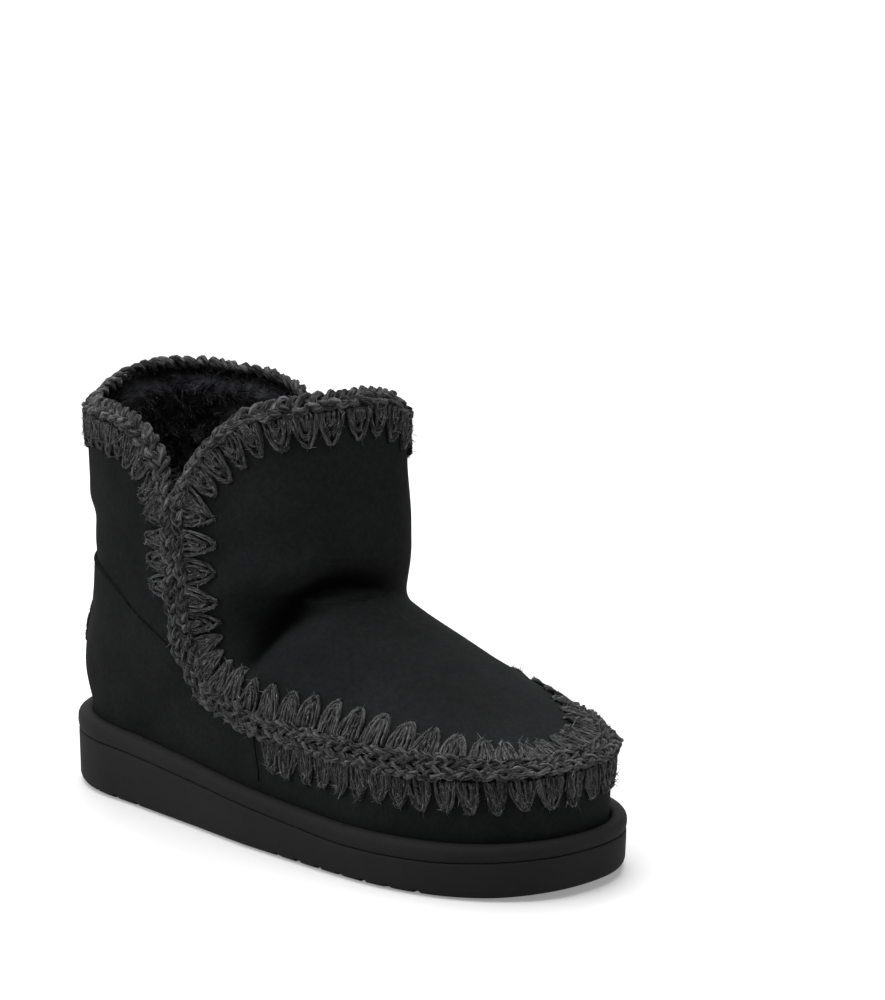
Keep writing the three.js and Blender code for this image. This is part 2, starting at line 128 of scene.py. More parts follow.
class Curve:
    """A smooth curve through two columns of a table. It never overshoots its rows."""

    def __init__(self, rows: Rows, key: int = 0, column: int = 1) -> None:
        """Prepare the curve.

        Args:
            rows: The table.
            key: The column that the curve runs along.
            column: The column that it gives.
        """
        table = np.array(rows, dtype=float)
        self.x, self.y = table[:, key], table[:, column]
        slope = np.diff(self.y) / np.diff(self.x)
        before, after = slope[:-1], slope[1:]
        both = before * after
        mean = 2.0 * both / np.where(both > 0.0, before + after, 1.0)
        inside = np.where(both > 0.0, mean, 0.0)
        self.tangent = np.concatenate([slope[:1], inside, slope[-1:]])

    def __call__(self, at: ArrayLike) -> Array:
        """Read the curve.

        Args:
            at: Places along the key column.

        Returns:
            The curve's values there, held level past its ends.
        """
        p = np.clip(at, self.x[0], self.x[-1])
        i = np.clip(np.searchsorted(self.x, p, side="right") - 1, 0, len(self.x) - 2)
        run = self.x[i + 1] - self.x[i]
        s = (p - self.x[i]) / run
        t = 1.0 - s
        level = self.y[i] * t * t * (1.0 + 2.0 * s) + self.y[i + 1] * s * s * (3.0 - 2.0 * s)
        return level + run * s * t * (self.tangent[i] * t - self.tangent[i + 1] * s)


def spline(points: ArrayLike, count: int) -> Array:
    """Draw a smooth line through points.

    Args:
        points: The points, one a row.
        count: How many points to return, evenly spaced.

    Returns:
        The points of the line, ends included.
    """
    p = np.asarray(points, dtype=float)
    ends = np.concatenate([p[:1], p, p[-1:]])
    steps_between = 40
    t = np.linspace(0.0, 1.0, steps_between, endpoint=False)[:, None]
    runs = []
    for a, b, c, d in zip(ends, ends[1:], ends[2:], ends[3:]):
        leave, arrive = (c - a) / 2.0, (d - b) / 2.0
        bend = (2.0 * b - 2.0 * c + leave + arrive) * t**3
        runs.append(bend + (3.0 * c - 3.0 * b - 2.0 * leave - arrive) * t**2 + leave * t + b)
    line = np.concatenate([*runs, p[-1:]])
    walked = walked_along(line)
    at = np.linspace(0.0, walked[-1], count)
    return np.stack([np.interp(at, walked, line[:, k]) for k in range(line.shape[1])], axis=-1)


class Ripple:
    """Seeded soft unevenness: a sum of plane waves in random directions, about -1 to 1."""

    def __init__(self, seed: int, size: float, count: int = 14) -> None:
        """Choose the waves.

        Args:
            seed: Seed of the choice.
            size: Length of a wave in millimetres.
            count: Number of waves.
        """
        rng = np.random.default_rng(seed)
        lengths = rng.uniform(0.7, 1.5, (count, 1)) * 2.0 * math.pi / size
        self.waves = unit(rng.normal(size=(count, 3))) * lengths
        self.phases = rng.uniform(0.0, 2.0 * math.pi, count)

    def __call__(self, points: Array) -> Array:
        """Return the unevenness at each point."""
        height = np.sin(points @ self.waves.T + self.phases).sum(-1)
        return height / math.sqrt(len(self.phases) * 1.5)


@dataclass(frozen=True)
class RoundEnd:
    """How the toe or heel of an outline is rounded off."""

    reach: float
    power: float

    def __call__(self, distance: ArrayLike) -> Array:
        """Return 0 at the tip and 1 from the reach inwards."""
        left = np.clip(1.0 - np.asarray(distance) / self.reach, 0.0, 1.0)
        return (1.0 - left**self.power) ** (1.0 / self.power)


def share_at(around: ArrayLike) -> Array:
    """Return the share of a length at a place around it, crowded at both ends."""
    return (1.0 - np.cos(math.pi * np.asarray(around))) / 2.0


def around_of(share: ArrayLike) -> Array:
    """Return the place around a length at a share of it."""
    return np.arccos(1.0 - 2.0 * np.clip(share, 0.0, 1.0)) / math.pi


def unfold(turn: ArrayLike) -> tuple[Array, Array]:
    """Split a turn into a place on one side and that side.

    Args:
        turn: Turns round the boot; 2 is the front again.

    Returns:
        The place from front 0 to back 1, and the side.
    """
    wrapped = np.mod(turn, 2.0)
    past = wrapped > 1.0
    return np.where(past, 2.0 - wrapped, wrapped), np.where(past, INNER, OUTER)


class TwoSided:
    """Curves round the boot that differ between the outer and the inner side."""

    def __init__(self, rows: Rows) -> None:
        """Take a table of the place from front 0 to back 1, the outer and the inner value."""
        self.outer, self.inner = Curve(rows, 0, 1), Curve(rows, 0, 2)

    def __call__(self, turn: ArrayLike) -> Array:
        """Return the values at turns."""
        around, side = unfold(turn)
        return np.where(side < 0.0, self.outer(around), self.inner(around))


@dataclass(frozen=True)
class SoleForm:
    """Outline and heights of the sole that every other piece is set on."""

    length: float = 274.0
    rim_width: float = 6.0
    rim_depth: float = 4.0
    outline_rows: Rows = (
        (-137, 51, 52), (-95, 54.5, 55), (-50, 57.3, 55), (-5, 56.8, 50.5), (40, 53.2, 48),
        (95, 49.8, 47.5), (137, 50, 47.5),
    )
    height_rows: Rows = (
        (-137, 2.8, 17.2, 23.5), (-115, 0.5, 15.2, 21.8), (-95, 0, 14.0, 21.0),
        (-60, 0, 13.6, 20.8), (-25, 0, 15.4, 22.2), (10, 0, 17.8, 24.4), (45, 0, 20.0, 27.2),
        (80, 0, 22.0, 29.6), (118, 0, 22.8, 30.4), (137, 1.2, 22.8, 30.4),
    )
    toe_end: RoundEnd = RoundEnd(74.0, 2.3)
    heel_end: RoundEnd = RoundEnd(50.0, 2.15)

    @property
    def toe(self) -> float:
        """Station of the toe."""
        return -self.length / 2.0

    @property
    def heel(self) -> float:
        """Station of the heel."""
        return self.length / 2.0

    @cached_property
    def outlines(self) -> tuple[Curve, Curve]:
        """Half widths on the outer and the inner side."""
        return Curve(self.outline_rows, 0, 1), Curve(self.outline_rows, 0, 2)

    @cached_property
    def levels(self) -> dict["Level", Curve]:
        """Heights of the tread line, the groove and the rim."""
        return {level: Curve(self.height_rows, 0, level.value) for level in Level}

    def half(self, y: ArrayLike, side: ArrayLike, inset: ArrayLike, fade: ArrayLike = 0.0) -> Array:
        """Give the half width of the outline.

        Args:
            y: Stations along the sole.
            side: Which side.
            inset: How far the outline is drawn in all round.
            fade: How far it is drawn in at the heel as well.

        Returns:
            Half widths.
        """
        outer, inner = self.outlines
        width = np.where(np.asarray(side) < 0.0, outer(y), inner(y)) - inset
        toe = self.toe_end(np.asarray(y) - self.toe - inset)
        return width * toe * self.heel_end(self.heel - inset - fade - np.asarray(y))

    def ring(self, turns: Array, level: "Level", lift: float, inset: float) -> Array:
        """Give one ring round the sole.

        Args:
            turns: The columns.
            level: The height that the ring follows.
            lift: How far it lies above that height.
            inset: How far it lies inside the outline.

        Returns:
            A point for each column.
        """
        around, side = unfold(turns)
        y = mix(self.toe + inset, self.heel - inset, share_at(around))
        return np.stack([side * self.half(y, side, inset), y, self.levels[level](y) + lift], -1)

    def even_turns(self, count: int) -> Array:
        """Space columns evenly round the outline.

        Args:
            count: Number of columns.

        Returns:
            Their turns.
        """
        fine = np.linspace(0.0, 2.0, 4001)
        ring = self.ring(fine, Level.RIM, 0.0, 0.0)
        walked = walked_along(ring)
        middle = float(np.interp(1.0, fine, walked))
        outer = np.interp(np.linspace(0.0, middle, count // 2, endpoint=False), walked, fine)
        return np.concatenate([outer, [1.0], 2.0 - outer[:0:-1]])


class Level(Enum):
    """Heights of the sole, with their columns in its table."""

    TREAD = 1
    GROOVE = 2
    RIM = 3


Rings = tuple[tuple[Level, float, float], ...]


@dataclass(frozen=True)
class UpperForm:
    """Skin of the upper: a foot and a shaft grown together, with a fold between them in front."""

    sole: SoleForm
    wall: float = 3.0
    seam_height: float = 48.0
    seam_inset: float = 5.0
    heel_fade: float = 0.3
    crown_rise: float = 1.9
    crown_spread: float = 1.75
    shaft_power: float = 2.35
    shaft_shift: float = 1.0
    blend_width: float = 6.0
    blend_rise: float = 14.0
    notch: tuple[float, float] = (0.46, 135.0)
    fold_above: float = 8.5
    fold_below: float = 4.0
    # Reach and sharpness of the painted shade in the ankle fold, above and below its line.
    shade_above: tuple[float, float] = (7.5, 4.4)
    shade_above_turns: tuple[float, float] = (0.08, 0.24)
    shade_below: float = 1.9
    shade_power: float = 2.2
    feather_lift: float = 0.3
    apron_rows: Rows = (
        (-132, 48), (-126, 51), (-105, 57.6), (-75, 70.8), (-45, 84.4), (-20, 96), (30, 125),
        (137, 158),
    )
    shaft_rows: Rows = (
        (20, -6, 118, 30), (31, -7, 130.2, 43), (37, -7.3, 133.4, 45), (48, -8, 135.4, 46.4),
        (60, -9.5, 133.4, 47.4), (76, -13, 129.4, 47.6), (94, -18.4, 127.6, 48),
        (103, -20, 127.6, 48.2), (112, -20.5, 128.4, 48.4), (122, -20.3, 131, 48.8),
        (145, -18.5, 131.8, 48.8), (190, -17, 131.4, 50),
    )
    front_lobe: Rows = (
        (0, 177.2, 177.2), (0.05, 177.3, 174.6), (0.1, 177, 170.6), (0.16, 175.8, 166),
        (0.28, 171, 158), (0.365, 159, 150), (0.42, 146, 142.5), (0.46, 135, 135),
    )
    back_lobe: Rows = (
        (0.46, 135, 135), (0.535, 154, 154), (0.59, 160.3, 161), (0.66, 161.3, 164.5),
        (0.8, 160, 166.6), (0.9, 160.4, 167.2), (0.95, 162.2, 166.8), (1, 165.7, 165.7),
    )
    fold_heights: Rows = (
        (0, 100, 100), (0.06, 101.8, 97.5), (0.1, 101.6, 96), (0.14, 99.8, 94.8),
        (0.2, 95.8, 92.6), (0.27, 90.8, 88.8), (0.345, 84.6, 83), (0.4, 78, 77.5),
        (0.444, 71.6, 72), (0.52, 66, 66), (0.62, 62, 62), (1, 84, 84),
    )
    fold_depths: Rows = (
        (0, 2, 2), (0.06, 7, 0.8), (0.12, 10, 0.5), (0.34, 10.5, 0.5), (0.42, 6.5, 0.4),
        (0.46, 1.5, 0.2), (0.49, 0, 0), (1, 0, 0),
    )
    # Strength of the painted shade in the ankle fold: place from front 0 to back 1, outer side,
    # inner side.
    shade_rows: Rows = (
        (0, 0.95, 0.95), (0.05, 1, 0.3), (0.1, 1, 0), (0.38, 1, 0), (0.43, 0.85, 0),
        (0.47, 0, 0), (1, 0, 0),
    )

    @cached_property
    def apron_top(self) -> Curve:
        """Height of the apron's ridge along the foot."""
        return Curve(self.apron_rows)

    @cached_property
    def ridge(self) -> tuple[Array, Array]:
        """Stations along the apron's ridge, and its heights there."""
        y = np.linspace(self.apron_rows[0][0], self.apron_rows[-1][0], 8001)
        return y, self.apron_top(y)

    def apron_front(self, z: Array) -> Array:
        """Return the station where the apron's ridge reaches a height."""
        y, top = self.ridge
        return np.interp(z, top, y)

    @cached_property
    def shaft(self) -> tuple[Curve, Curve, Curve]:
        """Front, back and half width of the shaft at a height."""
        front, back, half = (Curve(self.shaft_rows, 0, column) for column in (1, 2, 3))
        return front, back, half

    @cached_property
    def lobes(self) -> tuple[TwoSided, TwoSided]:
        """Collar heights before and behind the notch."""
        return TwoSided(self.front_lobe), TwoSided(self.back_lobe)

    @cached_property
    def fold(self) -> tuple[TwoSided, TwoSided]:
        """Height and depth of the ankle fold."""
        return TwoSided(self.fold_heights), TwoSided(self.fold_depths)

    @cached_property
    def shade(self) -> TwoSided:
        """Strength of the painted shade in the ankle fold."""
        return TwoSided(self.shade_rows)

    def wall_inset(self, y: ArrayLike, z: ArrayLike) -> Array:
        """Give how far the foot's wall stands inside the sole's outline.

        Args:
            y: Stations.
            z: Heights.

        Returns:
            Insets.
        """
        rim = self.sole.levels[Level.RIM](y)
        share = np.clip((z - rim) / (self.seam_height - rim), 0.0, 1.0)
        return mix(self.sole.rim_width, self.seam_inset, share)

    def foot_half(self, y: Array, z: Array, side: Array) -> Array:
        """Give the foot: a wall up to the seam, then a crowned apron.

        Args:
            y: Stations.
            z: Heights.
            side: Which side.

        Returns:
            Half widths, below 0 outside the foot.
        """
        over = np.maximum(z - self.seam_height, 0.0)
        share = over / np.maximum(self.apron_top(y) - self.seam_height, 1e-9)
        crown = (1.0 - np.clip(share, 0.0, 1.0) ** self.crown_rise) ** (1.0 / self.crown_spread)
        inset = np.where(z <= self.seam_height, self.wall_inset(y, z), self.seam_inset)
        half = self.sole.half(y, side, inset, self.heel_fade * over)
        inside = np.where(share < 1.0, half * crown, -2.0 * self.blend_width)
        return np.where(z <= self.seam_height, half, inside)

    def leg_half(self, y: Array, z: Array, side: Array) -> Array:
        """Give the heel and shaft.

        Args:
            y: Stations.
            z: Heights.
            side: Which side.

        Returns:
            Half widths, below 0 outside the shaft.
        """
        front, back, half = (curve(z) for curve in self.shaft)
        out = np.abs(2.0 * y - front - back) / (back - front)
        level = (1.0 - np.clip(out, 0.0, 1.0) ** self.shaft_power) ** (1.0 / self.shaft_power)
        inside = (half - side * self.shaft_shift) * level
        return np.where(out < 1.0, inside, -2.0 * self.blend_width)

    def front_at(self, z: Array) -> Array:
        """Give the front of the boot.

        Args:
            z: Heights.

        Returns:
            The foremost stations.
        """
        toe = self.sole.toe
        foot = np.where(z <= self.seam_height, toe + self.wall_inset(toe, z), self.apron_front(z))
        return np.minimum(foot, self.shaft[0](z))

    def back_at(self, z: Array) -> Array:
        """Give the back of the boot.

        Args:
            z: Heights.

        Returns:
            The rearmost stations.
        """
        heel = self.sole.heel
        foot = np.where(z <= self.seam_height, heel - self.wall_inset(heel, z), self.sole.toe)
        return np.maximum(foot, self.shaft[1](z))

    def place_of(self, y: ArrayLike, z: Array) -> Array:
        """Return the place around at a station and a height."""
        front = self.front_at(z)
        return around_of((np.asarray(y) - front) / (self.back_at(z) - front))

    def form(self, turn: ArrayLike, z: ArrayLike) -> Array:
        """Give the plain form, foot and shaft in one.

        Args:
            turn: Turns.
            z: Heights.

        Returns:
            Points.
        """
        turn, z = np.broadcast_arrays(np.asarray(turn, dtype=float), np.asarray(z, dtype=float))
        around, side = unfold(turn)
        y = mix(self.front_at(z), self.back_at(z), share_at(around))
        foot, leg = self.foot_half(y, z, side), self.leg_half(y, z, side)
        width = self.blend_width * np.clip((z - self.seam_height) / self.blend_rise, 0.0, 1.0)
        near = np.maximum(width - np.abs(foot - leg), 0.0)
        joined = near * near / np.maximum(4.0 * width, 1e-9)
        swell = np.where(np.minimum(foot, leg) > 0.0, joined, 0.0)
        half = np.maximum(np.maximum(foot, leg), 0.0) + swell
        return np.stack([side * half, y, z], -1)

    def facing(self, surface: Surface, turn: ArrayLike, z: ArrayLike) -> Array:
        """Give the outward direction of a surface.

        Args:
            surface: Gives points for turns and heights.
            turn: Turns.
            z: Heights.

        Returns:
            Directions of length 1.
        """
        turn, z = np.asarray(turn, dtype=float), np.asarray(z, dtype=float)
        along = surface(turn + TURN_STEP, z) - surface(turn - TURN_STEP, z)
        rise = surface(turn, z + RISE_STEP) - surface(turn, z - RISE_STEP)
        return unit(np.cross(rise, along))

    def skin(self, turn: ArrayLike, z: ArrayLike) -> Array:
        """Give the outer skin: the form, tucked in along the ankle fold.

        Args:
            turn: Turns.
            z: Heights.

        Returns:
            Points.
        """
        height, depth = (curve(turn) for curve in self.fold)
        over = np.asarray(z) - height
        apart = over / np.where(over > 0.0, self.fold_above, self.fold_below)
        tuck = depth * np.exp(-(apart**2))
        level = self.facing(self.form, turn, z) * np.array([1.0, 1.0, 0.0])
        return self.form(turn, z) - unit(level) * tuck[..., None]

    def crease_shade(self, turn: ArrayLike, z: ArrayLike) -> Array:
        """Give how strongly the painted shade of the ankle fold falls on places.

        Args:
            turn: Turns.
            z: Heights.

        Returns:
            Shares from 0 to 1.
        """
        # Painted shade: a band about the fold line, wider above it towards the front.
        over = np.asarray(z) - self.fold[0](turn)
        above = mix(*self.shade_above, smooth_step(unfold(turn)[0], *self.shade_above_turns))
        apart = np.abs(over) / np.where(over > 0.0, above, self.shade_below)
        return self.shade(turn) * np.exp(-(apart**self.shade_power))

    def outward(self, turn: ArrayLike, z: ArrayLike) -> Array:
        """Return the outward direction of the skin."""
        return self.facing(self.skin, turn, z)

    def collar(self, turn: ArrayLike) -> Array:
        """Return the height of the collar's edge."""
        front, back = (lobe(turn) for lobe in self.lobes)
        return np.where(unfold(turn)[0] < self.notch[0], front, back)

    def feather(self, turn: ArrayLike) -> Array:
        """Give the lower edge, which sits in the rim.

        Args:
            turn: Turns.

        Returns:
            Heights.
        """
        around, _ = unfold(turn)
        inset = self.sole.rim_width
        y = mix(self.sole.toe + inset, self.sole.heel - inset, share_at(around))
        return self.sole.levels[Level.RIM](y) - self.sole.rim_depth + self.feather_lift

    def columns(self, turns: Array, wall: Array, apron: Array, shaft: Array) -> Array:
        """Give the heights of a grid whose rows follow the seam level, the fold and the collar.

        Args:
            turns: The columns.
            wall: Shares of the height from the lower edge to the seam level.
            apron: Shares from the seam level to the fold.
            shaft: Shares from the fold to the collar.

        Returns:
            Heights, a row of the grid for each share.
        """
        low, fold, top = self.feather(turns), self.fold[0](turns), self.collar(turns)
        rows = [mix(low, self.seam_height, s) for s in wall]
        rows += [mix(self.seam_height, fold, s) for s in apron]
        rows += [mix(fold, top, s) for s in shaft]
        return np.stack(rows)


@dataclass
class Shape:
    """Points and faces, with a tone and a place in the grain for each point where it has them."""

    points: Array
    faces: Faces
    tone: Array | None = None
    grain: Array | None = None

    @classmethod
    def join(cls, shapes: Sequence["Shape"]) -> "Shape":
        """Join shapes whose faces have four corners.

        Args:
            shapes: The shapes.

        Returns:
            One shape.
        """
        starts = np.cumsum([0, *(len(shape.points) for shape in shapes)])
        faces = np.concatenate([shape.faces + start for shape, start in zip(shapes, starts)])
        tones = [np.zeros(len(s.points)) if s.tone is None else s.tone for s in shapes]
        return cls(np.concatenate([s.points for s in shapes]), faces, np.concatenate(tones))

    def piece(
        self, name: str, material: bpy.types.Material, slot: str, nodes: Sequence[str] = ()
    ) -> None:
        """Make the mesh and set it in the frame.

        Args:
            name: Name of the piece.
            material: Its finish.
            slot: Name of a material slot; not used.
            nodes: The solids that it stands for.
        """
        mesh = bpy.data.meshes.new(name)
        mesh.from_pydata((self.points * METRES).tolist(), [], self.faces.tolist())
        tone = np.zeros(len(self.points)) if self.tone is None else self.tone
        tones = mesh.attributes.new("tone", "FLOAT", "POINT")
        tones.data.foreach_set("value", tone.astype(np.float32))
        if self.grain is not None:
            grain = mesh.attributes.new("grain", "FLOAT_VECTOR", "POINT")
            grain.data.foreach_set("vector", self.grain.astype(np.float32).ravel())
        mesh.shade_smooth()
        mesh.materials.append(material)
        thing = add_object(name, mesh)
        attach(thing, "root")
        if nodes:
            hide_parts(*nodes)
        log.info("%s: %d faces", name, len(self.faces))


def grid_faces(rows: int, columns: int, wrap: bool = False, flip: bool = False) -> Faces:
    """Give the faces of a grid of points.

    Args:
        rows: Number of rows.
        columns: Number of columns.
        wrap: Whether the last column joins the first.
        flip: Whether the faces are turned over.

    Returns:
        Faces of four corners, one for each cell.
    """
    index = np.arange(rows * columns).reshape(rows, columns)
    right = np.roll(index, -1, axis=1)
    last = columns if wrap else columns - 1
    corners = [index[:-1, :last], right[:-1, :last], right[1:, :last], index[1:, :last]]
    return np.stack(corners[::-1] if flip else corners, -1).reshape(-1, 4)


def tubes(paths: Array, ups: Array, radius: ArrayLike, closed: bool = False) -> tuple[Array, Faces]:
    """Make round strands of equal count.

    Args:
        paths: Points of the strands, by strand, place and axis.
        ups: Directions that fix the strands' own turn.
        radius: Radius of the strands, by strand and place.
        closed: Whether each strand is a loop.

    Returns:
        The points and the faces.
    """
    looped = np.roll(paths, -1, 1) - np.roll(paths, 1, 1)
    along = looped if closed else np.gradient(paths, axis=1)
    aside = unit(np.cross(unit(along), np.broadcast_to(ups, paths.shape)))
    over = np.cross(aside, unit(along))
    angle = round_angles(STRAND_SIDES)[:, None]
    ring = np.cos(angle) * aside[:, :, None] + np.sin(angle) * over[:, :, None]
    size = np.broadcast_to(np.asarray(radius, dtype=float), paths.shape[:2])
    points = paths[:, :, None] + ring * size[:, :, None, None]
    index = np.arange(points[..., 0].size).reshape(points.shape[:3])
    ahead = np.roll(index, -1, axis=1)
    if not closed:
        index, ahead = index[:, :-1], ahead[:, :-1]
    faces = np.stack([index, ahead, np.roll(ahead, -1, 2), np.roll(index, -1, 2)], -1)
    return points.reshape(-1, 3), faces.reshape(-1, 4)


def ribbons(spines: Array, flats: Array) -> tuple[Array, Faces]:
    """Make flat hairs of three places each.

    Args:
        spines: Middles of the hairs, by hair, place and axis.
        flats: Half their widths, as vectors.

    Returns:
        The points, six for each hair, and the faces.
    """
    points = np.stack([spines - flats, spines + flats], 2)
    corner = np.array([[0, 1, 3, 2], [2, 3, 5, 4]])
    faces = np.arange(len(spines))[:, None, None] * 6 + corner
    return points.reshape(-1, 3), faces.reshape(-1, 4)


def strand_grain(paths: Array, stretch: float = 5.0, stagger: float = 17.3) -> Array:
    """Give each point of round strands a place in their grain, which is drawn out along them.

    Args:
        paths: Points of the strands, by strand, place and axis.
        stretch: Millimetres along a strand for one unit of grain.
        stagger: How far the grain moves on from one strand to the next.

    Returns:
        A place for each point: round the strand, and along it.
    """
    count, places = paths.shape[:2]
    angle = round_angles(STRAND_SIDES)
    steps = np.linalg.norm(np.diff(paths, axis=1, prepend=paths[:, :1]), axis=-1)
    along = np.cumsum(steps, axis=1) / stretch + stagger * np.arange(count)[:, None]
    ring = np.stack([np.cos(angle), np.sin(angle), np.zeros(STRAND_SIDES)], -1)
    grain = np.broadcast_to(ring, (count, places, STRAND_SIDES, 3)).copy()
    grain[..., 2] += along[:, :, None]
    return grain.reshape(-1, 3)


class Board:
    """The nodes of one material or group, with short ways to add and link them."""

    def __init__(self, tree: bpy.types.NodeTree) -> None:
        """Take over a node tree."""
        self.tree = tree

    def add(self, kind: str, **values: object) -> bpy.types.Node:
        """Add a node.

        Args:
            kind: The node's type.
            values: Settings or sockets to link, by their names in lower case, with underlines for
                spaces.

        Returns:
            The node.
        """
        node = self.tree.nodes.new(kind)
        for name, value in values.items():
            words = name.replace("_", " ")
            socket = next((s for s in node.inputs if s.name.lower() == words and s.enabled), None)
            if socket is None:
                setattr(node, name, value)
            else:
                self.feed(socket, value)
        return node

    def feed(self, socket: bpy.types.NodeSocket, value: object) -> None:
        """Link a socket to another one, or set its value.

        Args:
            socket: The socket that takes the value.
            value: A socket, a colour or a number.
        """
        if isinstance(value, bpy.types.NodeSocket):
            self.tree.links.new(value, socket)
        elif isinstance(value, tuple) and socket.type == "RGBA":
            socket.default_value = (*value, 1.0)
        else:
            socket.default_value = value

    def math(self, operation: str, *terms: object) -> bpy.types.NodeSocket:
        """Calculate with numbers or sockets.

        Args:
            operation: What to do.
            terms: The numbers or sockets.

        Returns:
            The result.
        """
        node = self.tree.nodes.new("ShaderNodeMath")
        node.operation = operation
        for socket, term in zip(node.inputs, terms):
            self.feed(socket, term)
        return node.outputs[0]

    def blend(
        self, factor: object, a: object, b: object, kind: str = "MIX"
    ) -> bpy.types.NodeSocket:
        """Mix two colours.

        Args:
            factor: Share of the second colour.
            a: First colour.
            b: Second colour.
            kind: How they mix.

        Returns:
            The mix.
        """
        node = self.add("ShaderNodeMix", data_type="RGBA", blend_type=kind)
        factor_in, colour_a, colour_b, colour_out = 0, 6, 7, 2
        for index, value in ((factor_in, factor), (colour_a, a), (colour_b, b)):
            self.feed(node.inputs[index], value)
        return node.outputs[colour_out]

    def noise(
        self, vector: object, scale: object, detail: float, roughness: float = 0.5
    ) -> bpy.types.NodeSocket:
        """Return the value of a noise."""
        values = {"vector": vector, "scale": scale, "detail": detail, "roughness": roughness}
        return self.add("ShaderNodeTexNoise", **values).outputs[0]

    def attribute(self, name: str, output: str) -> bpy.types.NodeSocket:
        """Return a value that each point of the mesh carries."""
        return self.add("ShaderNodeAttribute", attribute_name=name).outputs[output]


class Groups:
    """Node groups that several finishes share. Each is built once."""

    @staticmethod
    def start(
        name: str, inputs: dict[str, str], outputs: dict[str, str]
    ) -> tuple[Board, dict[str, bpy.types.NodeSocket], dict[str, bpy.types.NodeSocket]]:
        """Start a group.

        Args:
            name: Name of the group.
            inputs: Names and types of what goes in.
            outputs: Names and types of what comes out.

        Returns:
            The group's board, the sockets that bring values in, and the sockets that take results.
        """
        tree = bpy.data.node_groups.new(name, "ShaderNodeTree")
        for in_out, sockets in (("INPUT", inputs), ("OUTPUT", outputs)):
            for label, kind in sockets.items():
                socket_type = f"NodeSocket{kind}"
                tree.interface.new_socket(name=label, in_out=in_out, socket_type=socket_type)
        board = Board(tree)
        entry, leave = board.add("NodeGroupInput"), board.add("NodeGroupOutput")
        return board, {s.name: s for s in entry.outputs}, {s.name: s for s in leave.inputs}

    @cached_property
    def mottle(self) -> bpy.types.NodeTree:
        """Soft blotches between two tones.

        Returns:
            The group.
        """
        ins = {"Vector": "Vector", "Scale": "Float", "Dark": "Color", "Light": "Color"}
        board, get, put = self.start("mottle", ins, {"Color": "Color", "Value": "Float"})
        noise = board.noise(get["Vector"], get["Scale"], 4.0, 0.6)
        level = board.add("ShaderNodeMapRange", value=noise, from_min=0.32, from_max=0.68)
        board.feed(put["Value"], level.outputs[0])
        board.feed(put["Color"], board.blend(level.outputs[0], get["Dark"], get["Light"]))
        return board.tree

    @cached_property
    def nap(self) -> bpy.types.NodeTree:
        """Fine nap or grain: a height for a bump, and a shade that goes with it.

        Returns:
            The group.
        """
        ins = {"Vector": "Vector", "Scale": "Float", "Contrast": "Float"}
        board, get, put = self.start("nap", ins, {"Height": "Float", "Shade": "Float"})
        fine = board.noise(get["Vector"], get["Scale"], 3.0, 0.7)
        coarse = board.noise(get["Vector"], board.math("MULTIPLY", get["Scale"], 0.23), 2.0)
        fine, coarse = board.math("MULTIPLY", fine, 0.6), board.math("MULTIPLY", coarse, 0.4)
        height = board.math("ADD", fine, coarse)
        board.feed(put["Height"], height)
        swing = board.math("MULTIPLY", board.math("SUBTRACT", height, 0.5), get["Contrast"])
        board.feed(put["Shade"], board.math("ADD", swing, 1.0))
        return board.tree


@dataclass(frozen=True)
class Finish:
    """A finish of two tones with blotches and a fine nap."""

    name: str
    dark: Colour
    light: Colour
    blotch: float = 30.0
    grain: float = 2200.0
    contrast: float = 0.8
    bump: float = 0.3
    bump_depth: float = 0.0003
    roughness: float = 0.85
    specular: float = 0.3
    sheen: float = 0.0
    sheen_roughness: float = 0.4
    glow: float = 0.0

    def place(self, board: Board) -> bpy.types.NodeSocket:
        """Return where the blotches and the nap are read."""
        return board.add("ShaderNodeTexCoord").outputs["Object"]

    def tint(self, board: Board, mottle: bpy.types.Node) -> bpy.types.NodeSocket:
        """Return the colour before the nap's shade."""
        return mottle.outputs["Color"]

    def material(self, groups: Groups) -> bpy.types.Material:
        """Build the material.

        Args:
            groups: The shared node groups.

        Returns:
            The material.
        """
        material = bpy.data.materials.new(self.name)
        material.use_nodes = True
        board = Board(material.node_tree)
        shader = material.node_tree.nodes["Principled BSDF"]
        place = self.place(board)
        mottle = board.add("ShaderNodeGroup", node_tree=groups.mottle, vector=place)
        nap = board.add("ShaderNodeGroup", node_tree=groups.nap, vector=place)
        for socket, value in (
            (mottle.inputs["Scale"], self.blotch),
            (mottle.inputs["Dark"], self.dark),
            (mottle.inputs["Light"], self.light),
            (nap.inputs["Scale"], self.grain),
            (nap.inputs["Contrast"], self.contrast),
        ):
            board.feed(socket, value)
        colour = board.blend(1.0, self.tint(board, mottle), nap.outputs["Shade"], "MULTIPLY")
        board.feed(shader.inputs["Base Color"], colour)
        bump = board.add("ShaderNodeBump", strength=self.bump, distance=self.bump_depth)
        board.feed(bump.inputs["Height"], nap.outputs["Height"])
        board.feed(shader.inputs["Normal"], bump.outputs[0])
        for name, value in (
            ("Roughness", self.roughness),
            ("Specular IOR Level", self.specular),
            ("Sheen Weight", self.sheen),
            ("Sheen Roughness", self.sheen_roughness),
            ("Emission Color", WHITE),
            ("Emission Strength", self.glow),
        ):
            shader.inputs[name].default_value = value
        return material


@dataclass(frozen=True)
class CreaseShadeFinish(Finish):
    """A finish with painted shade: its colour is darker where the tone attribute marks a crease."""

    def tint(self, board: Board, mottle: bpy.types.Node) -> bpy.types.NodeSocket:
        """Return the blotches, darkened by the painted shade that each place's tone carries."""
        return board.blend(1.0, mottle.outputs["Color"], board.attribute("tone", "Fac"), "MULTIPLY")


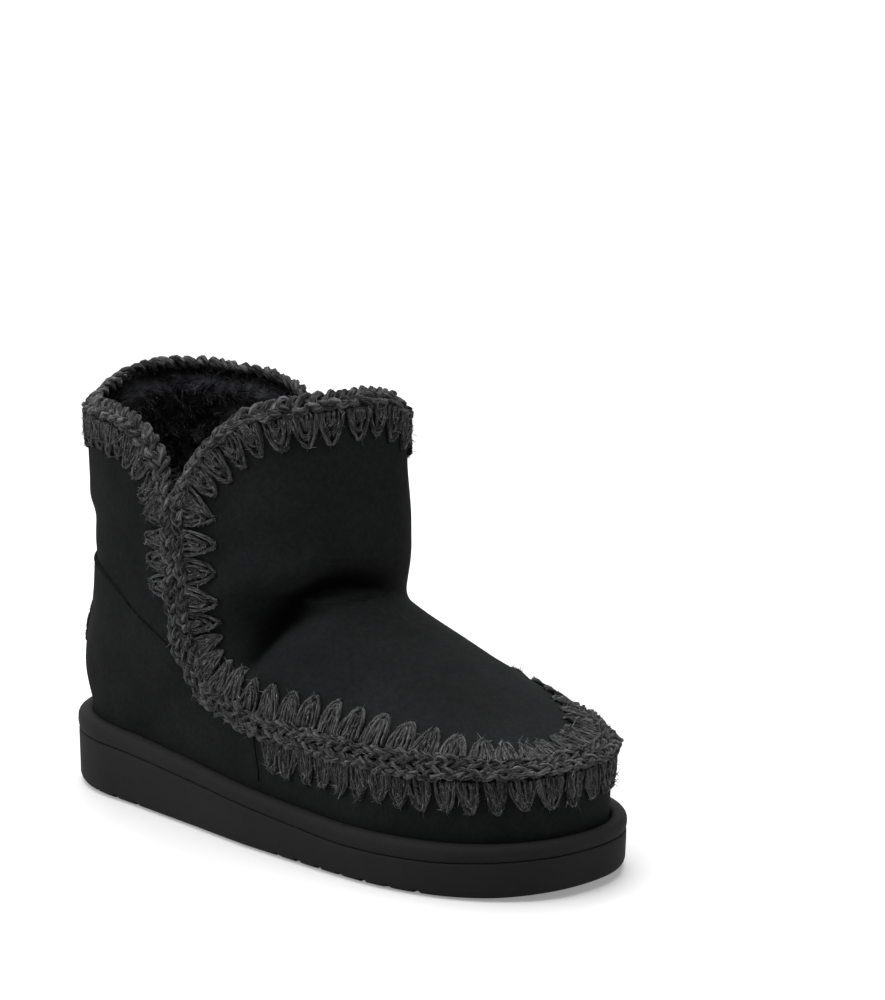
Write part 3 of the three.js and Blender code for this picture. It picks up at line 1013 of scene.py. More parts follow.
@dataclass(frozen=True)
class TonedFinish(Finish):
    """A finish whose strands each have a tone of their own."""

    spread: float = 0.75
    power: float = 1.0

    def tint(self, board: Board, mottle: bpy.types.Node) -> bpy.types.NodeSocket:
        """Break up each strand's tone by the blotches.

        Args:
            board: The material's board.
            mottle: The node of the blotches.

        Returns:
            The colour.
        """
        own = board.math("MULTIPLY", board.attribute("tone", "Fac"), self.spread)
        fleck = board.math("MULTIPLY", mottle.outputs["Value"], 1.0 - self.spread)
        level = board.math("POWER", board.math("ADD", own, fleck), self.power)
        return board.blend(level, self.dark, self.light)


@dataclass(frozen=True)
class YarnFinish(TonedFinish):
    """A finish of fine fibres drawn out along each strand."""

    def place(self, board: Board) -> bpy.types.NodeSocket:
        """Return places in the strands' own grain."""
        return board.attribute("grain", "Vector")


@dataclass(frozen=True)
class Crease:
    """A soft trough placed on the upper, or a ridge where its depth is below 0."""

    path: Rows
    depth: float
    width: float
    bank: float = 0.0
    girth: float = 215.0
    places: int = 64

    def relief(self, turn: Array, z: Array) -> Array:
        """Give how far the trough moves the skin.

        Args:
            turn: Turns.
            z: Heights.

        Returns:
            Millimetres outward.
        """
        line = spline(self.path, self.places)
        aside = np.mod(turn[..., None] - line[:, 0] + 1.0, 2.0) - 1.0
        apart = np.hypot(aside * self.girth, z[..., None] - line[:, 1])
        nearest = apart.argmin(-1) / (self.places - 1.0)
        distance = apart.min(-1) / self.width
        fade = np.sin(math.pi * np.clip(nearest, 0.02, 0.98)) ** 0.6
        banks = self.bank * np.exp(-((distance - 2.0) ** 2))
        return fade * (banks - self.depth * np.exp(-(distance**2)))


@dataclass
class Upper:
    """Leather of the upper: front panel, side band, heel counter and back panel."""

    form: UpperForm
    column_count: int = 440
    lap: float = 1.0
    counter_front: float = 0.49
    counter_rows: Rows = (
        (0.49, 62), (0.545, 66), (0.568, 71.2), (0.584, 75.2), (0.604, 79.2), (0.628, 84),
        (0.652, 88.8), (0.692, 93), (0.78, 95.5), (0.864, 96.2), (1, 97),
    )
    apron_roll: Rows = (
        (0.0, 91), (0.06, 94.3), (0.14, 92.6), (0.2, 88.8), (0.27, 83.6), (0.345, 77),
        (0.42, 66),
    )
    shaft_roll: Rows = (
        (-0.06, 114), (0.06, 115), (0.14, 113), (0.2, 109), (0.27, 104), (0.345, 98),
        (0.42, 88),
    )
    ankle_dip: Rows = (
        (0.56, 114), (0.66, 116.5), (0.78, 114), (0.9, 114.5), (1.05, 115), (1.3, 113),
    )
    side_dip: Rows = ((0.26, 124), (0.34, 115), (0.42, 104))
    swells: tuple[tuple[int, float, float], ...] = ((3, 60.0, 0.35), (4, 18.0, 0.1))
    lap_edge: float = 0.9
    wall_steps: int = 26
    apron_steps: int = 52
    apron_crowd: float = 1.25
    shaft_steps: int = 78
    shaft_crowd: float = 1.3
    inside_step: int = 6
    inside_gap: float = 0.4
    # How far the painted shade darkens the leather at the bottom of the ankle fold.
    fold_shade: float = 0.9
    seam_radius: float = 0.32
    seam_lift: float = 0.1
    top_seam: tuple[float, float, int] = (0.552, 1.448, 360)
    front_seam: tuple[float, float, int] = (27.0, 46.0, 24)
    stitch_pitch: float = 3.0
    stitch_half: float = 1.4
    stitch_radius: float = 0.3
    stitch_lean: float = 0.004

    @cached_property
    def creases(self) -> tuple[Crease, ...]:
        """Rolls of leather below and above the ankle fold, and two soft dips in the shaft.

        Returns:
            The creases.
        """
        return (
            Crease(self.apron_roll, -2.2, 5.0),
            Crease(self.shaft_roll, -1.8, 6.5),
            Crease(self.ankle_dip, 0.8, 5.0, 0.4),
            Crease(self.side_dip, 0.8, 5.0, 0.4),
        )

    @cached_property
    def counter_top(self) -> Curve:
        """Height of the counter's upper edge around the heel."""
        return Curve(self.counter_rows)

    def relief(self, turn: Array, z: Array) -> Array:
        """Give the soft forms on the skin: creases, unevenness and the lapped counter.

        Args:
            turn: Turns.
            z: Heights.

        Returns:
            Millimetres outward.
        """
        points = self.form.skin(turn, z)
        height = sum(amount * Ripple(seed, size)(points) for seed, size, amount in self.swells)
        for crease in self.creases:
            height = height + crease.relief(turn, z)
        around, _ = unfold(turn)
        past = (around - self.counter_front) * self.form.sole.length
        behind = smooth_step(past, -self.lap_edge, self.lap_edge)
        under = smooth_step(self.counter_top(around) - z, -self.lap_edge, self.lap_edge)
        return height + self.lap * behind * under

    def surface(self, turn: Array, z: Array) -> Array:
        """Return points of the dressed skin, raised in the direction of the plain form."""
        out = self.form.facing(self.form.form, turn, z)
        return self.form.skin(turn, z) + out * self.relief(turn, z)[..., None]

    def leather(self) -> Shape:
        """Make the closed wall of the upper.

        Returns:
            The wall, with painted shade inside the ankle fold.
        """
        turns = np.linspace(0.0, 2.0, self.column_count, endpoint=False)
        wall = np.linspace(0.0, 1.0, self.wall_steps)
        apron = 1.0 - (1.0 - np.linspace(0.0, 1.0, self.apron_steps + 1)[1:]) ** self.apron_crowd
        shaft = np.linspace(0.0, 1.0, self.shaft_steps + 1)[1:] ** self.shaft_crowd
        z = self.form.columns(turns, wall, apron, shaft)
        turn = np.broadcast_to(turns, z.shape)
        outside = self.surface(turn, z)
        keep = np.unique(np.append(np.arange(0, len(z), self.inside_step), len(z) - 1))
        inset = self.form.outward(turn, z) * (self.form.wall - self.inside_gap)
        inside = (self.form.skin(turn, z) - inset)[keep][::-1]
        rings = np.concatenate([outside, inside, outside[:1]])
        faces = grid_faces(len(rings), self.column_count, wrap=True, flip=True)
        # The tone attribute carries painted shade: 1 in the open, lower inside the ankle fold.
        tone = np.ones(rings.shape[:2])
        tone[: len(z)] -= self.fold_shade * self.form.crease_shade(turn, z)
        return Shape(rings.reshape(-1, 3), faces, tone.ravel())

    def seam_shadow_cord(self, turns: Array, heights: Array) -> Shape:
        """Make a fine dark cord on the skin along a panel's edge: partly the edge, partly a painted
        shadow line.

        Args:
            turns: Turns of the edge.
            heights: Its heights there.

        Returns:
            The cord.
        """
        out = self.form.outward(turns, heights)
        path = self.surface(turns, heights) + self.seam_lift * out
        # The cord is dark: a painted shadow line along the edge.
        return Shape(*tubes(path[None], out[None], self.seam_radius))

    def stitches(self, turns: Array, heights: Array, slant: Array) -> Shape:
        """Return short slanting stitches along a line on the skin.

        Args:
            turns: Turns of the stitches.
            heights: Heights of the line there.
            slant: How far the top of each stitch leans along the turn.

        Returns:
            The stitches.
        """
        q = np.linspace(-1.0, 1.0, 7)
        turn = turns[:, None] + slant[:, None] * q
        z = heights[:, None] + self.stitch_half * q
        out = self.form.outward(turn, z)
        path = self.surface(turn, z) + out * (0.4 * (1.0 - q**4) - 0.25)[:, None]
        return Shape(*tubes(path, out, self.stitch_radius * (1.0 - 0.6 * q**6)))

    def seams(self) -> Shape:
        """Make the lapped seam of the counter with its stitches, and the counter's front seams;
        their edges are dark cords of painted shadow.

        Returns:
            The seams.
        """
        turns = np.linspace(*self.top_seam)
        # Dark cord of painted shadow along the counter's top edge.
        parts = [self.seam_shadow_cord(turns, self.counter_top(unfold(turns)[0]))]
        walked = walked_along(self.form.skin(turns, self.counter_top(unfold(turns)[0])))
        at = np.interp(np.arange(2.0, walked[-1], self.stitch_pitch), walked, turns)
        lean = np.where(at < 1.0, self.stitch_lean, -self.stitch_lean)
        parts.append(self.stitches(at, self.counter_top(unfold(at)[0]), lean))
        heights = np.linspace(*self.front_seam)
        # The counter's front seams are dark cords of painted shadow only.
        for turn in (self.counter_front, 2.0 - self.counter_front):
            parts.append(self.seam_shadow_cord(np.full(len(heights), turn), heights))
        return Shape.join(parts)

    def build(self, leather: bpy.types.Material, thread_and_shade: bpy.types.Material) -> None:
        """Make the leather and its seams.

        Args:
            leather: Finish of the wall.
            thread_and_shade: Finish of the stitches and of the seams' painted shadow cords.
        """
        self.leather().piece("upper_leather", leather, "upper", ["upper"])
        self.seams().piece("seam_stitches_and_shadow_lines", thread_and_shade, "upper")


class Panel(Enum):
    """The two panel edges that carry a braid, with the hand of each loop."""

    FRONT = 1.0
    BACK = -1.0

    @property
    def tooth_pitch(self) -> float:
        """Distance between blanket stitches."""
        return 11.6 if self is Panel.FRONT else 9.8

    @property
    def tooth_scale(self) -> float:
        """Length of the blanket stitches up the shaft, as a share of those along the foot."""
        return 1.0 if self is Panel.FRONT else 0.78


@dataclass
class EdgeLoop:
    """The edge of a panel as a closed line: round the seam and along its lobe of the collar."""

    form: UpperForm
    panel: Panel
    spacing: float = 0.9
    seam_level: float = 50.0
    side_girth: float = 270.0
    collar_turn: float = 18.0
    corner_reach: float = 16.0
    seam_places: int = 700
    lobe_places: int = 400
    lobe_crowd: float = 1.2
    seam_rows: Rows = (
        (-137, 50), (-110, 50), (-50, 50), (-8, 50.4), (10.5, 52.8), (30, 58.6), (42, 75),
        (44.6, 92), (45, 112), (45.8, 135),
    )

    def __post_init__(self) -> None:
        """Lay the line out at even distances and find its directions."""
        form, rows = self.form, np.array(self.seam_rows)
        place = form.place_of(rows[:, 0], np.full(len(rows), self.seam_level))
        drawn = spline(np.stack([place * self.side_girth, rows[:, 1]], -1), self.seam_places)
        level = np.full(self.seam_places, self.seam_level)
        front = form.front_at(level)
        y = mix(front, form.back_at(level), share_at(drawn[:, 0] / self.side_girth))
        seam = form.place_of(y, drawn[:, 1])
        end = 0.0 if self.panel is Panel.FRONT else 1.0
        share = np.linspace(0.0, 1.0, self.lobe_places + 1)[1:] ** self.lobe_crowd
        lobe = mix(form.notch[0], end, share)
        turn = np.concatenate([seam, lobe])
        z = np.concatenate([drawn[:, 1], form.collar(lobe)])
        on_collar = np.concatenate([np.zeros(self.seam_places), np.ones(self.lobe_places)])
        back = slice(-2, 0, -1)
        turn = np.concatenate([turn, 2.0 * end - turn[back]])
        z, on_collar = np.concatenate([z, z[back]]), np.concatenate([on_collar, on_collar[back]])
        z = np.where(on_collar > 0.0, form.collar(turn), z)
        turn = np.append(turn, 2.0 * end)
        z, on_collar = np.append(z, z[0]), np.append(on_collar, 0.0)
        line = form.skin(turn, z)
        walked = walked_along(line)
        self.length = float(walked[-1])
        self.count = int(self.length / self.spacing)
        at = np.linspace(0.0, self.length, self.count, endpoint=False)
        self.turn, self.z = np.interp(at, walked, turn), np.interp(at, walked, z)
        marks = np.flatnonzero(np.diff(on_collar) != 0)
        start, stop = walked[marks[0]], walked[marks[-1]]
        self.collar = smooth_step(np.minimum(at - start, stop - at), 0.0, self.collar_turn)
        self.points = form.skin(self.turn, self.z)
        self.normals = form.outward(self.turn, self.z)
        along = unit(np.roll(self.points, -1, 0) - np.roll(self.points, 1, 0))
        self.own = self.soften(unit(np.cross(along, self.normals)) * self.panel.value)

    def soften(self, headings: Array) -> Array:
        """Let headings into the panel turn gradually round its corners.

        Args:
            headings: One for each place.

        Returns:
            The softened headings.
        """
        reach = round(self.corner_reach / self.spacing)
        weights = np.hanning(2 * reach + 1)
        looped = np.concatenate([headings[-reach:], headings, headings[:reach]])
        mean = np.stack([np.convolve(axis, weights, "valid") for axis in looped.T], -1)
        return unit(mean - self.normals * (mean * self.normals).sum(-1, keepdims=True))

    def strip(self, surface: Surface, depth: int) -> tuple[Array, Array]:
        """Walk over the skin from the edge into the panel, a millimetre at a time.

        Args:
            surface: The dressed skin.
            depth: How many steps to walk.

        Returns:
            Points and outward directions, by place along the edge and by step.
        """
        turn, z, heading = self.turn.copy(), self.z.copy(), self.own.copy()
        points, normals = [], []
        for _ in range(depth + 1):
            out = self.form.outward(turn, z)
            points.append(surface(turn, z))
            normals.append(out)
            heading = unit(heading - out * (heading * out).sum(-1, keepdims=True))
            skin = self.form.skin
            across = (skin(turn + TURN_STEP, z) - skin(turn - TURN_STEP, z)) / (2.0 * TURN_STEP)
            rise = skin(turn, z + RISE_STEP) - skin(turn, z - RISE_STEP)
            aa, rr, ar = (across**2).sum(-1), (rise**2).sum(-1), (across * rise).sum(-1)
            ha, hr = (heading * across).sum(-1), (heading * rise).sum(-1)
            scale = aa * rr - ar**2
            turn = turn + (ha * rr - hr * ar) / scale
            z = z + (hr * aa - ha * ar) / scale
        return np.stack(points, 1), np.stack(normals, 1)


def read_strip(strip: Array, along: Array, depth: Array) -> Array:
    """Read a strip between its points.

    Args:
        strip: Values by place and step; the places are a loop.
        along: Places, as numbers of places.
        depth: Depths, as numbers of steps.

    Returns:
        The values there.
    """
    i = np.floor(along).astype(int)
    j = np.clip(np.floor(depth).astype(int), 0, strip.shape[1] - 2)
    s, t = (along - i)[..., None], (depth - j)[..., None]
    i, ahead = i % len(strip), (i + 1) % len(strip)
    near = mix(strip[i, j], strip[ahead, j], s)
    return mix(near, mix(strip[i, j + 1], strip[ahead, j + 1], s), t)


@dataclass
class Braid:
    """A crocheted chain on a panel's edge, with looped blanket stitches and loose fibres."""

    upper: Upper
    panel: Panel
    node: str
    offset: float = 3.3
    height: float = 1.4
    half_width: float = 2.2
    half_height: float = 0.95
    link: float = 16.0
    ply: float = 0.68
    twist: float = 13.0
    lean: float = math.radians(50.0)
    tooth_length: float = 13.0
    tooth_points: int = 21
    loops: tuple[tuple[float, float], ...] = ((0.42, 1.0), (0.25, 0.92), (0.09, 0.8))
    yarn: float = 0.48
    bare_front: float = -5.0
    bare_top: float = 87.0
    seat_power: float = 1.6
    foot_size: float = 0.84
    size_heights: tuple[float, float] = (55.0, 80.0)
    collar_size: float = 0.42
    collar_seat: float = -0.4
    collar_sink: float = 0.7
    collar_flat: float = 0.45
    fill: tuple[float, float] = (1.38, 1.32)
    size_waver: float = 0.07
    strand_waver: float = 0.35
    ply_waver: float = 0.8
    chain_tone: float = 0.5
    tone_waver: float = 0.15
    strip_depth: int = 26
    shaft_heights: tuple[float, float] = (60.0, 85.0)
    tooth_sizes: tuple[float, float] = (0.92, 1.06)
    tooth_lengths: tuple[float, float] = (0.93, 1.05)
    tooth_sway: float = 0.7
    tooth_start: float = 2.4
    collar_start: float = 3.0
    seam_extra: float = 2.0
    tooth_winds: float = 1.3
    tooth_tone: float = 0.55
    tooth_fill: float = 1.06
    hole: float = 1.0
    hole_sides: int = 8
    hole_gap: float = 0.7
    hole_lift: float = 0.25
    fibres: int = 22000
    lying: float = 0.8
    fibre_bow: float = 2.0
    seed: int = 11
    strands: list[Array] = field(default_factory=list)
    tips: tuple[Array, Array] = field(init=False)

    def __post_init__(self) -> None:
        """Find the edge that the braid follows."""
        self.edge = EdgeLoop(self.upper.form, self.panel)
        self.rng = np.random.default_rng(self.seed + int(self.panel.value))

    def waver(self, at: Array, amount: float) -> Array:
        """Draw a slow unevenness round the loop.

        Args:
            at: Angles round the loop.
            amount: Its size.

        Returns:
            The unevenness.
        """
        draw = self.rng
        waves = [np.sin(at * draw.integers(6, 34) + draw.uniform(0.0, 6.3)) for _ in range(5)]
        return amount * np.sum(waves, axis=0) / 2.0

    def wobble(self, paths: Array, amount: float = 0.16) -> Array:
        """Make strands finely uneven.

        Args:
            paths: Points of the strands.
            amount: How uneven, in millimetres.

        Returns:
            The moved points.
        """
        noise = self.rng.normal(size=paths.shape)
        smooth = noise + np.roll(noise, 1, 1) + np.roll(noise, -1, 1)
        return paths + amount * smooth / math.sqrt(3.0)

    def yarn_of(
        self, paths: Array, ups: Array, radius: ArrayLike, tones: Array, closed: bool
    ) -> Shape:
        """Spin strands and keep their lines for the loose fibres.

        Args:
            paths: Points of the strands, by strand, place and axis.
            ups: Directions away from the leather.
            radius: Radius of the strands.
            tones: Tones, by strand and place.
            closed: Whether each strand is a loop.

        Returns:
            The strands.
        """
        paths = self.wobble(paths)
        ups = np.broadcast_to(ups, paths.shape)
        uneven = radius * self.rng.uniform(0.78, 1.22, paths.shape[:2])
        points, faces = tubes(paths, ups, uneven, closed)
        runs = unit(np.gradient(paths, axis=1))
        self.strands.append(np.concatenate([paths, ups, runs], -1).reshape(-1, 9))
        return Shape(points, faces, np.repeat(tones.ravel(), STRAND_SIDES), strand_grain(paths))

    def chain(self) -> Shape:
        """Plait the chain: three flat strands, each of three loosely twisted plies.

        Returns:
            The chain.
        """
        edge = self.edge
        collar = edge.collar[:, None]
        angle = self.lean * collar
        up = edge.normals * np.cos(angle) - edge.own * np.sin(angle)
        across = edge.own * np.cos(angle) + edge.normals * np.sin(angle)
        lift = mix(self.height, -self.upper.form.wall / 2.0 - self.collar_sink, collar)
        seat = (self.offset * self.size_at(edge.z) ** self.seat_power)[:, None]
        aside = mix(seat, self.collar_seat, collar)
        centre = edge.points + edge.own * aside + edge.normals * lift
        at = round_angles(edge.count)
        grow = self.size_at(edge.z) * (1.0 + self.collar_size * edge.collar)
        grow = grow * (1.0 + self.waver(at, self.size_waver))
        links, twists = round(edge.length / self.link), round(edge.length / self.twist)
        paths, tones = [], []
        for strand, start in enumerate(round_angles(PLIES)):
            phase = at * links + start + self.waver(at, self.strand_waver)
            for wind in round_angles(PLIES):
                roll = at * twists + wind + strand + self.waver(at, self.ply_waver)
                aside = grow * (self.half_width * np.sin(phase) + self.ply * np.cos(roll))
                flat = self.half_height * (1.0 - self.collar_flat * edge.collar)
                plait = flat * np.sin(2.0 * phase)
                above = grow * (plait + self.ply * np.sin(roll))
                paths.append(centre + across * aside[:, None] + up * above[:, None])
                tone = self.rng.uniform(0.0, self.chain_tone) + self.waver(at, self.tone_waver)
                tones.append(np.clip(tone, 0.0, 1.0))
        radius = self.ply * grow * mix(*self.fill, edge.collar)
        return self.yarn_of(np.stack(paths), up, radius, np.stack(tones), True)

    def size_at(self, z: Array) -> Array:
        """Return the size of the chain: smaller along the foot than up the shaft."""
        return mix(self.foot_size, 1.0, smooth_step(z, *self.size_heights))

    def places(self) -> Array:
        """Space the stitches along the edge: everywhere but along the heel counter.

        Returns:
            Their places, as numbers of places along the edge.
        """
        edge = self.edge
        count = round(edge.length / self.panel.tooth_pitch)
        uneven = self.rng.uniform(-0.07, 0.07, count)
        middle = (np.arange(count) + 0.5 + uneven) * edge.count / count
        spot = middle.astype(int) % edge.count
        bare = (edge.points[spot, 1] > self.bare_front) & (edge.z[spot] < self.bare_top)
        return middle if self.panel is Panel.FRONT else middle[~bare]

    def teeth(self) -> Shape:
        """Sew the blanket stitches: nested loops from the chain to a hole in the leather.

        Returns:
            The stitches.
        """
        edge, rng = self.edge, self.rng
        points, normals = edge.strip(self.upper.surface, self.strip_depth)
        middle = self.places()[:, None, None]
        count, loops = len(middle), len(self.loops)
        collar = edge.collar[middle.astype(int) % edge.count]
        wide, reach = np.array(self.loops).T[:, :, None]
        wide = wide * self.panel.tooth_pitch
        bend = np.linspace(0.0, math.pi, self.tooth_points)
        rise = np.sin(bend)
        swing = np.sign(np.cos(bend)) * np.abs(np.cos(bend)) ** 1.25
        size = rng.uniform(*self.tooth_sizes, (count, loops, 1))
        sway = rng.uniform(-self.tooth_sway, self.tooth_sway, (count, 1, 1)) * rise
        along = middle + (wide * size * swing + sway) / edge.spacing
        z = edge.z[middle.astype(int) % edge.count]
        low, high = self.size_at(z), smooth_step(z, *self.shaft_heights)
        start = mix((self.offset + self.tooth_start) * low, self.collar_start, collar)
        scale = low * mix(1.0, self.panel.tooth_scale, high * (1.0 - collar))
        length = (self.tooth_length + mix(self.seam_extra, 0.0, collar)) * scale
        length = length * rng.uniform(*self.tooth_lengths, (count, 1, 1))
        depth = start + length * reach ** (1.0 + 3.0 * high) * rise
        place, out = read_strip(points, along, depth), unit(read_strip(normals, along, depth))
        sink = np.exp(-(((bend - math.pi / 2.0) / 0.22) ** 2))
        lift = 1.0 + 0.25 * rng.uniform(-1.0, 1.0, (count, loops, 1)) - 1.1 * sink
        spine = place + out * lift[..., None]
        spine, out = spine.reshape(-1, self.tooth_points, 3), out.reshape(-1, self.tooth_points, 3)
        side = unit(np.cross(unit(np.gradient(spine, axis=1)), out))
        q = np.linspace(0.0, 1.0, self.tooth_points)
        paths, tones = [], []
        for ply in range(PLIES):
            turned = self.tooth_winds * q + rng.uniform(0.0, 1.0, (len(spine), 1)) + ply / PLIES
            roll = 2.0 * math.pi * turned
            wind = side * np.cos(roll)[..., None] + out * np.sin(roll)[..., None]
            paths.append(spine + self.yarn * wind)
            tones.append(rng.uniform(0.0, self.tooth_tone, len(spine)))
        tone = np.repeat(np.concatenate(tones), self.tooth_points)
        tip = start[:, 0] + length[:, 0] + self.hole_gap
        spot = middle[:, 0]
        self.tips = read_strip(points, spot, tip)[:, 0], unit(read_strip(normals, spot, tip))[:, 0]
        paths, outs = np.concatenate(paths), np.concatenate([out] * PLIES)
        return self.yarn_of(paths, outs, self.yarn * self.tooth_fill, tone, False)

    def hole_shades(self) -> Shape:
        """Make flat dark discs of painted shade at each hole where the stitches enter the leather.

        Returns:
            Small flat rounds.
        """
        # Painted shade: flat dark discs lie where each hole's depth would be in shadow.
        tips, outs = self.tips
        first = unit(np.cross(outs, np.array([0.3, 0.5, 0.8])))[:, None]
        second = np.cross(outs, first[:, 0])[:, None]
        angle = round_angles(self.hole_sides)[:, None]
        rim = np.cos(angle) * first + np.sin(angle) * second
        middles = (tips + self.hole_lift * outs)[:, None, None]
        rings = np.stack([0.25 * rim, rim], 1) * self.hole + middles
        middle = np.array([[0, 1, 2, 3], [0, 3, 4, 7], [4, 5, 6, 7]])
        faces = np.concatenate([grid_faces(2, self.hole_sides, wrap=True), middle])
        starts = 2 * self.hole_sides * np.arange(len(tips))[:, None, None]
        return Shape(rings.reshape(-1, 3), (faces + starts).reshape(-1, 4))

    def fuzz(self) -> Shape:
        """Make loose fibres: most lie along the yarn, the others stand off it.

        Returns:
            The fibres.
        """
        rng, count = self.rng, self.fibres
        strands = np.concatenate(self.strands)
        roots, ups, runs = np.split(strands[rng.integers(0, len(strands), count)], 3, 1)
        stray = rng.normal(size=(count, 3))
        lying = rng.uniform(0.0, 1.0, (count, 1)) < self.lying
        off = unit(ups + 0.8 * stray)
        lead = unit(np.where(lying, runs + stray * 0.8, ups * 0.7 + stray * 0.7))
        long, short = rng.uniform(1.0, 3.0, (count, 1)), rng.uniform(0.8, 2.4, (count, 1))
        length = np.where(lying, long, short)
        start = roots + off * np.where(lying, 0.72, 0.3)
        bend = np.where(lying, -0.55 * off, unit(rng.normal(size=(count, 3))))
        q = np.array([-0.5, 0.0, 0.5])[:, None] + np.where(lying, 0.0, 0.5)[:, None]
        bow = bend[:, None] * q**2 * self.fibre_bow
        spine = start[:, None] + length[:, None] * lead[:, None] * q + bow
        width = rng.uniform(0.06, 0.14, (count, 1, 1)) * np.array([0.5, 1.0, 0.3])[:, None]
        flat = unit(np.cross(lead, unit(off + 0.4 * stray[:, ::-1])))[:, None] * width
        points, faces = ribbons(spine, flat)
        grain = np.repeat(rng.uniform(0.0, 50.0, (count, 3)), 6, axis=0)
        return Shape(points, faces, np.repeat(rng.uniform(0.0, 1.6, count), 6), grain)

    def build(self, yarn: bpy.types.Material, thread_and_shade: bpy.types.Material) -> None:
        """Make the chain, its blanket stitches, painted shade at each stitch hole and the fibres.

        Args:
            yarn: Finish of the yarn.
            thread_and_shade: Dark finish of the painted shade at each stitch hole.
        """
        self.chain().piece(f"{self.node}_chain", yarn, "braid", [self.node])
        self.teeth().piece(f"{self.node}_blanket_stitch", yarn, "braid")
        self.fuzz().piece(f"{self.node}_fibres", yarn, "braid")
        # Dark discs of painted shade at each stitch hole.
        self.hole_shades().piece(f"{self.node}_holes", thread_and_shade, "braid")


@dataclass
class Lining:
    """Shearling inside the upper: a lumpy pile, and hairs in tufts towards the collar."""

    form: UpperForm
    pile: float = 6.0
    lump: float = 2.3
    column_count: int = 300
    hairs: int = 20000
    hair_depth: float = 85.0
    seed: int = 29

    def pile_at(self, turn: Array, z: Array) -> Array:
        """Give the pile's lumpy face.

        Args:
            turn: Turns.
            z: Heights.

        Returns:
            Points.
        """
        points, out = self.form.skin(turn, z), self.form.outward(turn, z)
        under = self.form.collar(turn) - z
        depth = mix(self.form.wall - 0.8, self.form.wall + self.pile, smooth_step(under, 0.5, 9.0))
        curl = np.abs(Ripple(5, 13.0)(points)) + 0.5 * np.abs(Ripple(6, 5.5)(points))
        lumps = self.lump * (curl - 0.6) * smooth_step(under, 2.0, 8.0)
        return points - out * (depth + lumps)[..., None]

    def fleece(self) -> Shape:
        """Make the pile inside the wall.

        Returns:
            One open face.
        """
        turns = np.linspace(0.0, 2.0, self.column_count, endpoint=False)
        wall, apron = np.linspace(0.35, 1.0, 10), np.linspace(0.0, 1.0, 25)[1:]
        shaft = 1.0 - (1.0 - np.linspace(0.0, 1.0, 61)[1:]) ** 1.2
        z = self.form.columns(turns, wall, apron, shaft)
        z[-1] -= 1.0
        grid = self.pile_at(np.broadcast_to(turns, z.shape), z)
        faces = grid_faces(len(z), self.column_count, wrap=True)
        return Shape(grid.reshape(-1, 3), faces, np.full(grid[..., 0].size, 0.1))

    def tufts(self) -> Shape:
        """Make short hairs of the fleece, which lean together in tufts.

        Returns:
            The hairs.
        """
        rng, count = np.random.default_rng(self.seed), self.hairs
        turn = rng.uniform(0.0, 2.0, count)
        z = self.form.collar(turn) - 2.0 - self.hair_depth * rng.uniform(0.0, 1.0, count) ** 1.4
        root, inward = self.pile_at(turn, z), -self.form.outward(turn, z)
        drift = np.stack([Ripple(seed, 13.0)(root) for seed in (21, 22, 23)], -1)
        lead = unit(0.55 * inward + 0.8 * drift + 0.45 * rng.normal(size=root.shape))
        bend = unit(rng.normal(size=root.shape))
        length = rng.uniform(2.5, 6.0, (count, 1))
        q = np.array([0.0, 0.55, 1.0])[:, None]
        run = lead[:, None] * q + 0.4 * bend[:, None] * q**2
        spine = (root - 0.4 * inward)[:, None] + length[:, None] * run
        width = rng.uniform(0.12, 0.32, (count, 1, 1)) * np.array([1.0, 0.9, 0.2])[:, None]
        flat = unit(np.cross(lead, bend))[:, None] * width
        tone = 0.35 + 0.35 * Ripple(24, 9.0)(root) + rng.uniform(-0.25, 0.35, count)
        return Shape(*ribbons(spine, flat), np.repeat(np.clip(tone, 0.0, 1.0), 6))

    def build(self, fleece: bpy.types.Material) -> None:
        """Make the pile and its tufts.

        Args:
            fleece: Finish of the shearling.
        """
        self.fleece().piece("fleece_lining", fleece, "insole")
        self.tufts().piece("fleece_tufts", fleece, "insole")


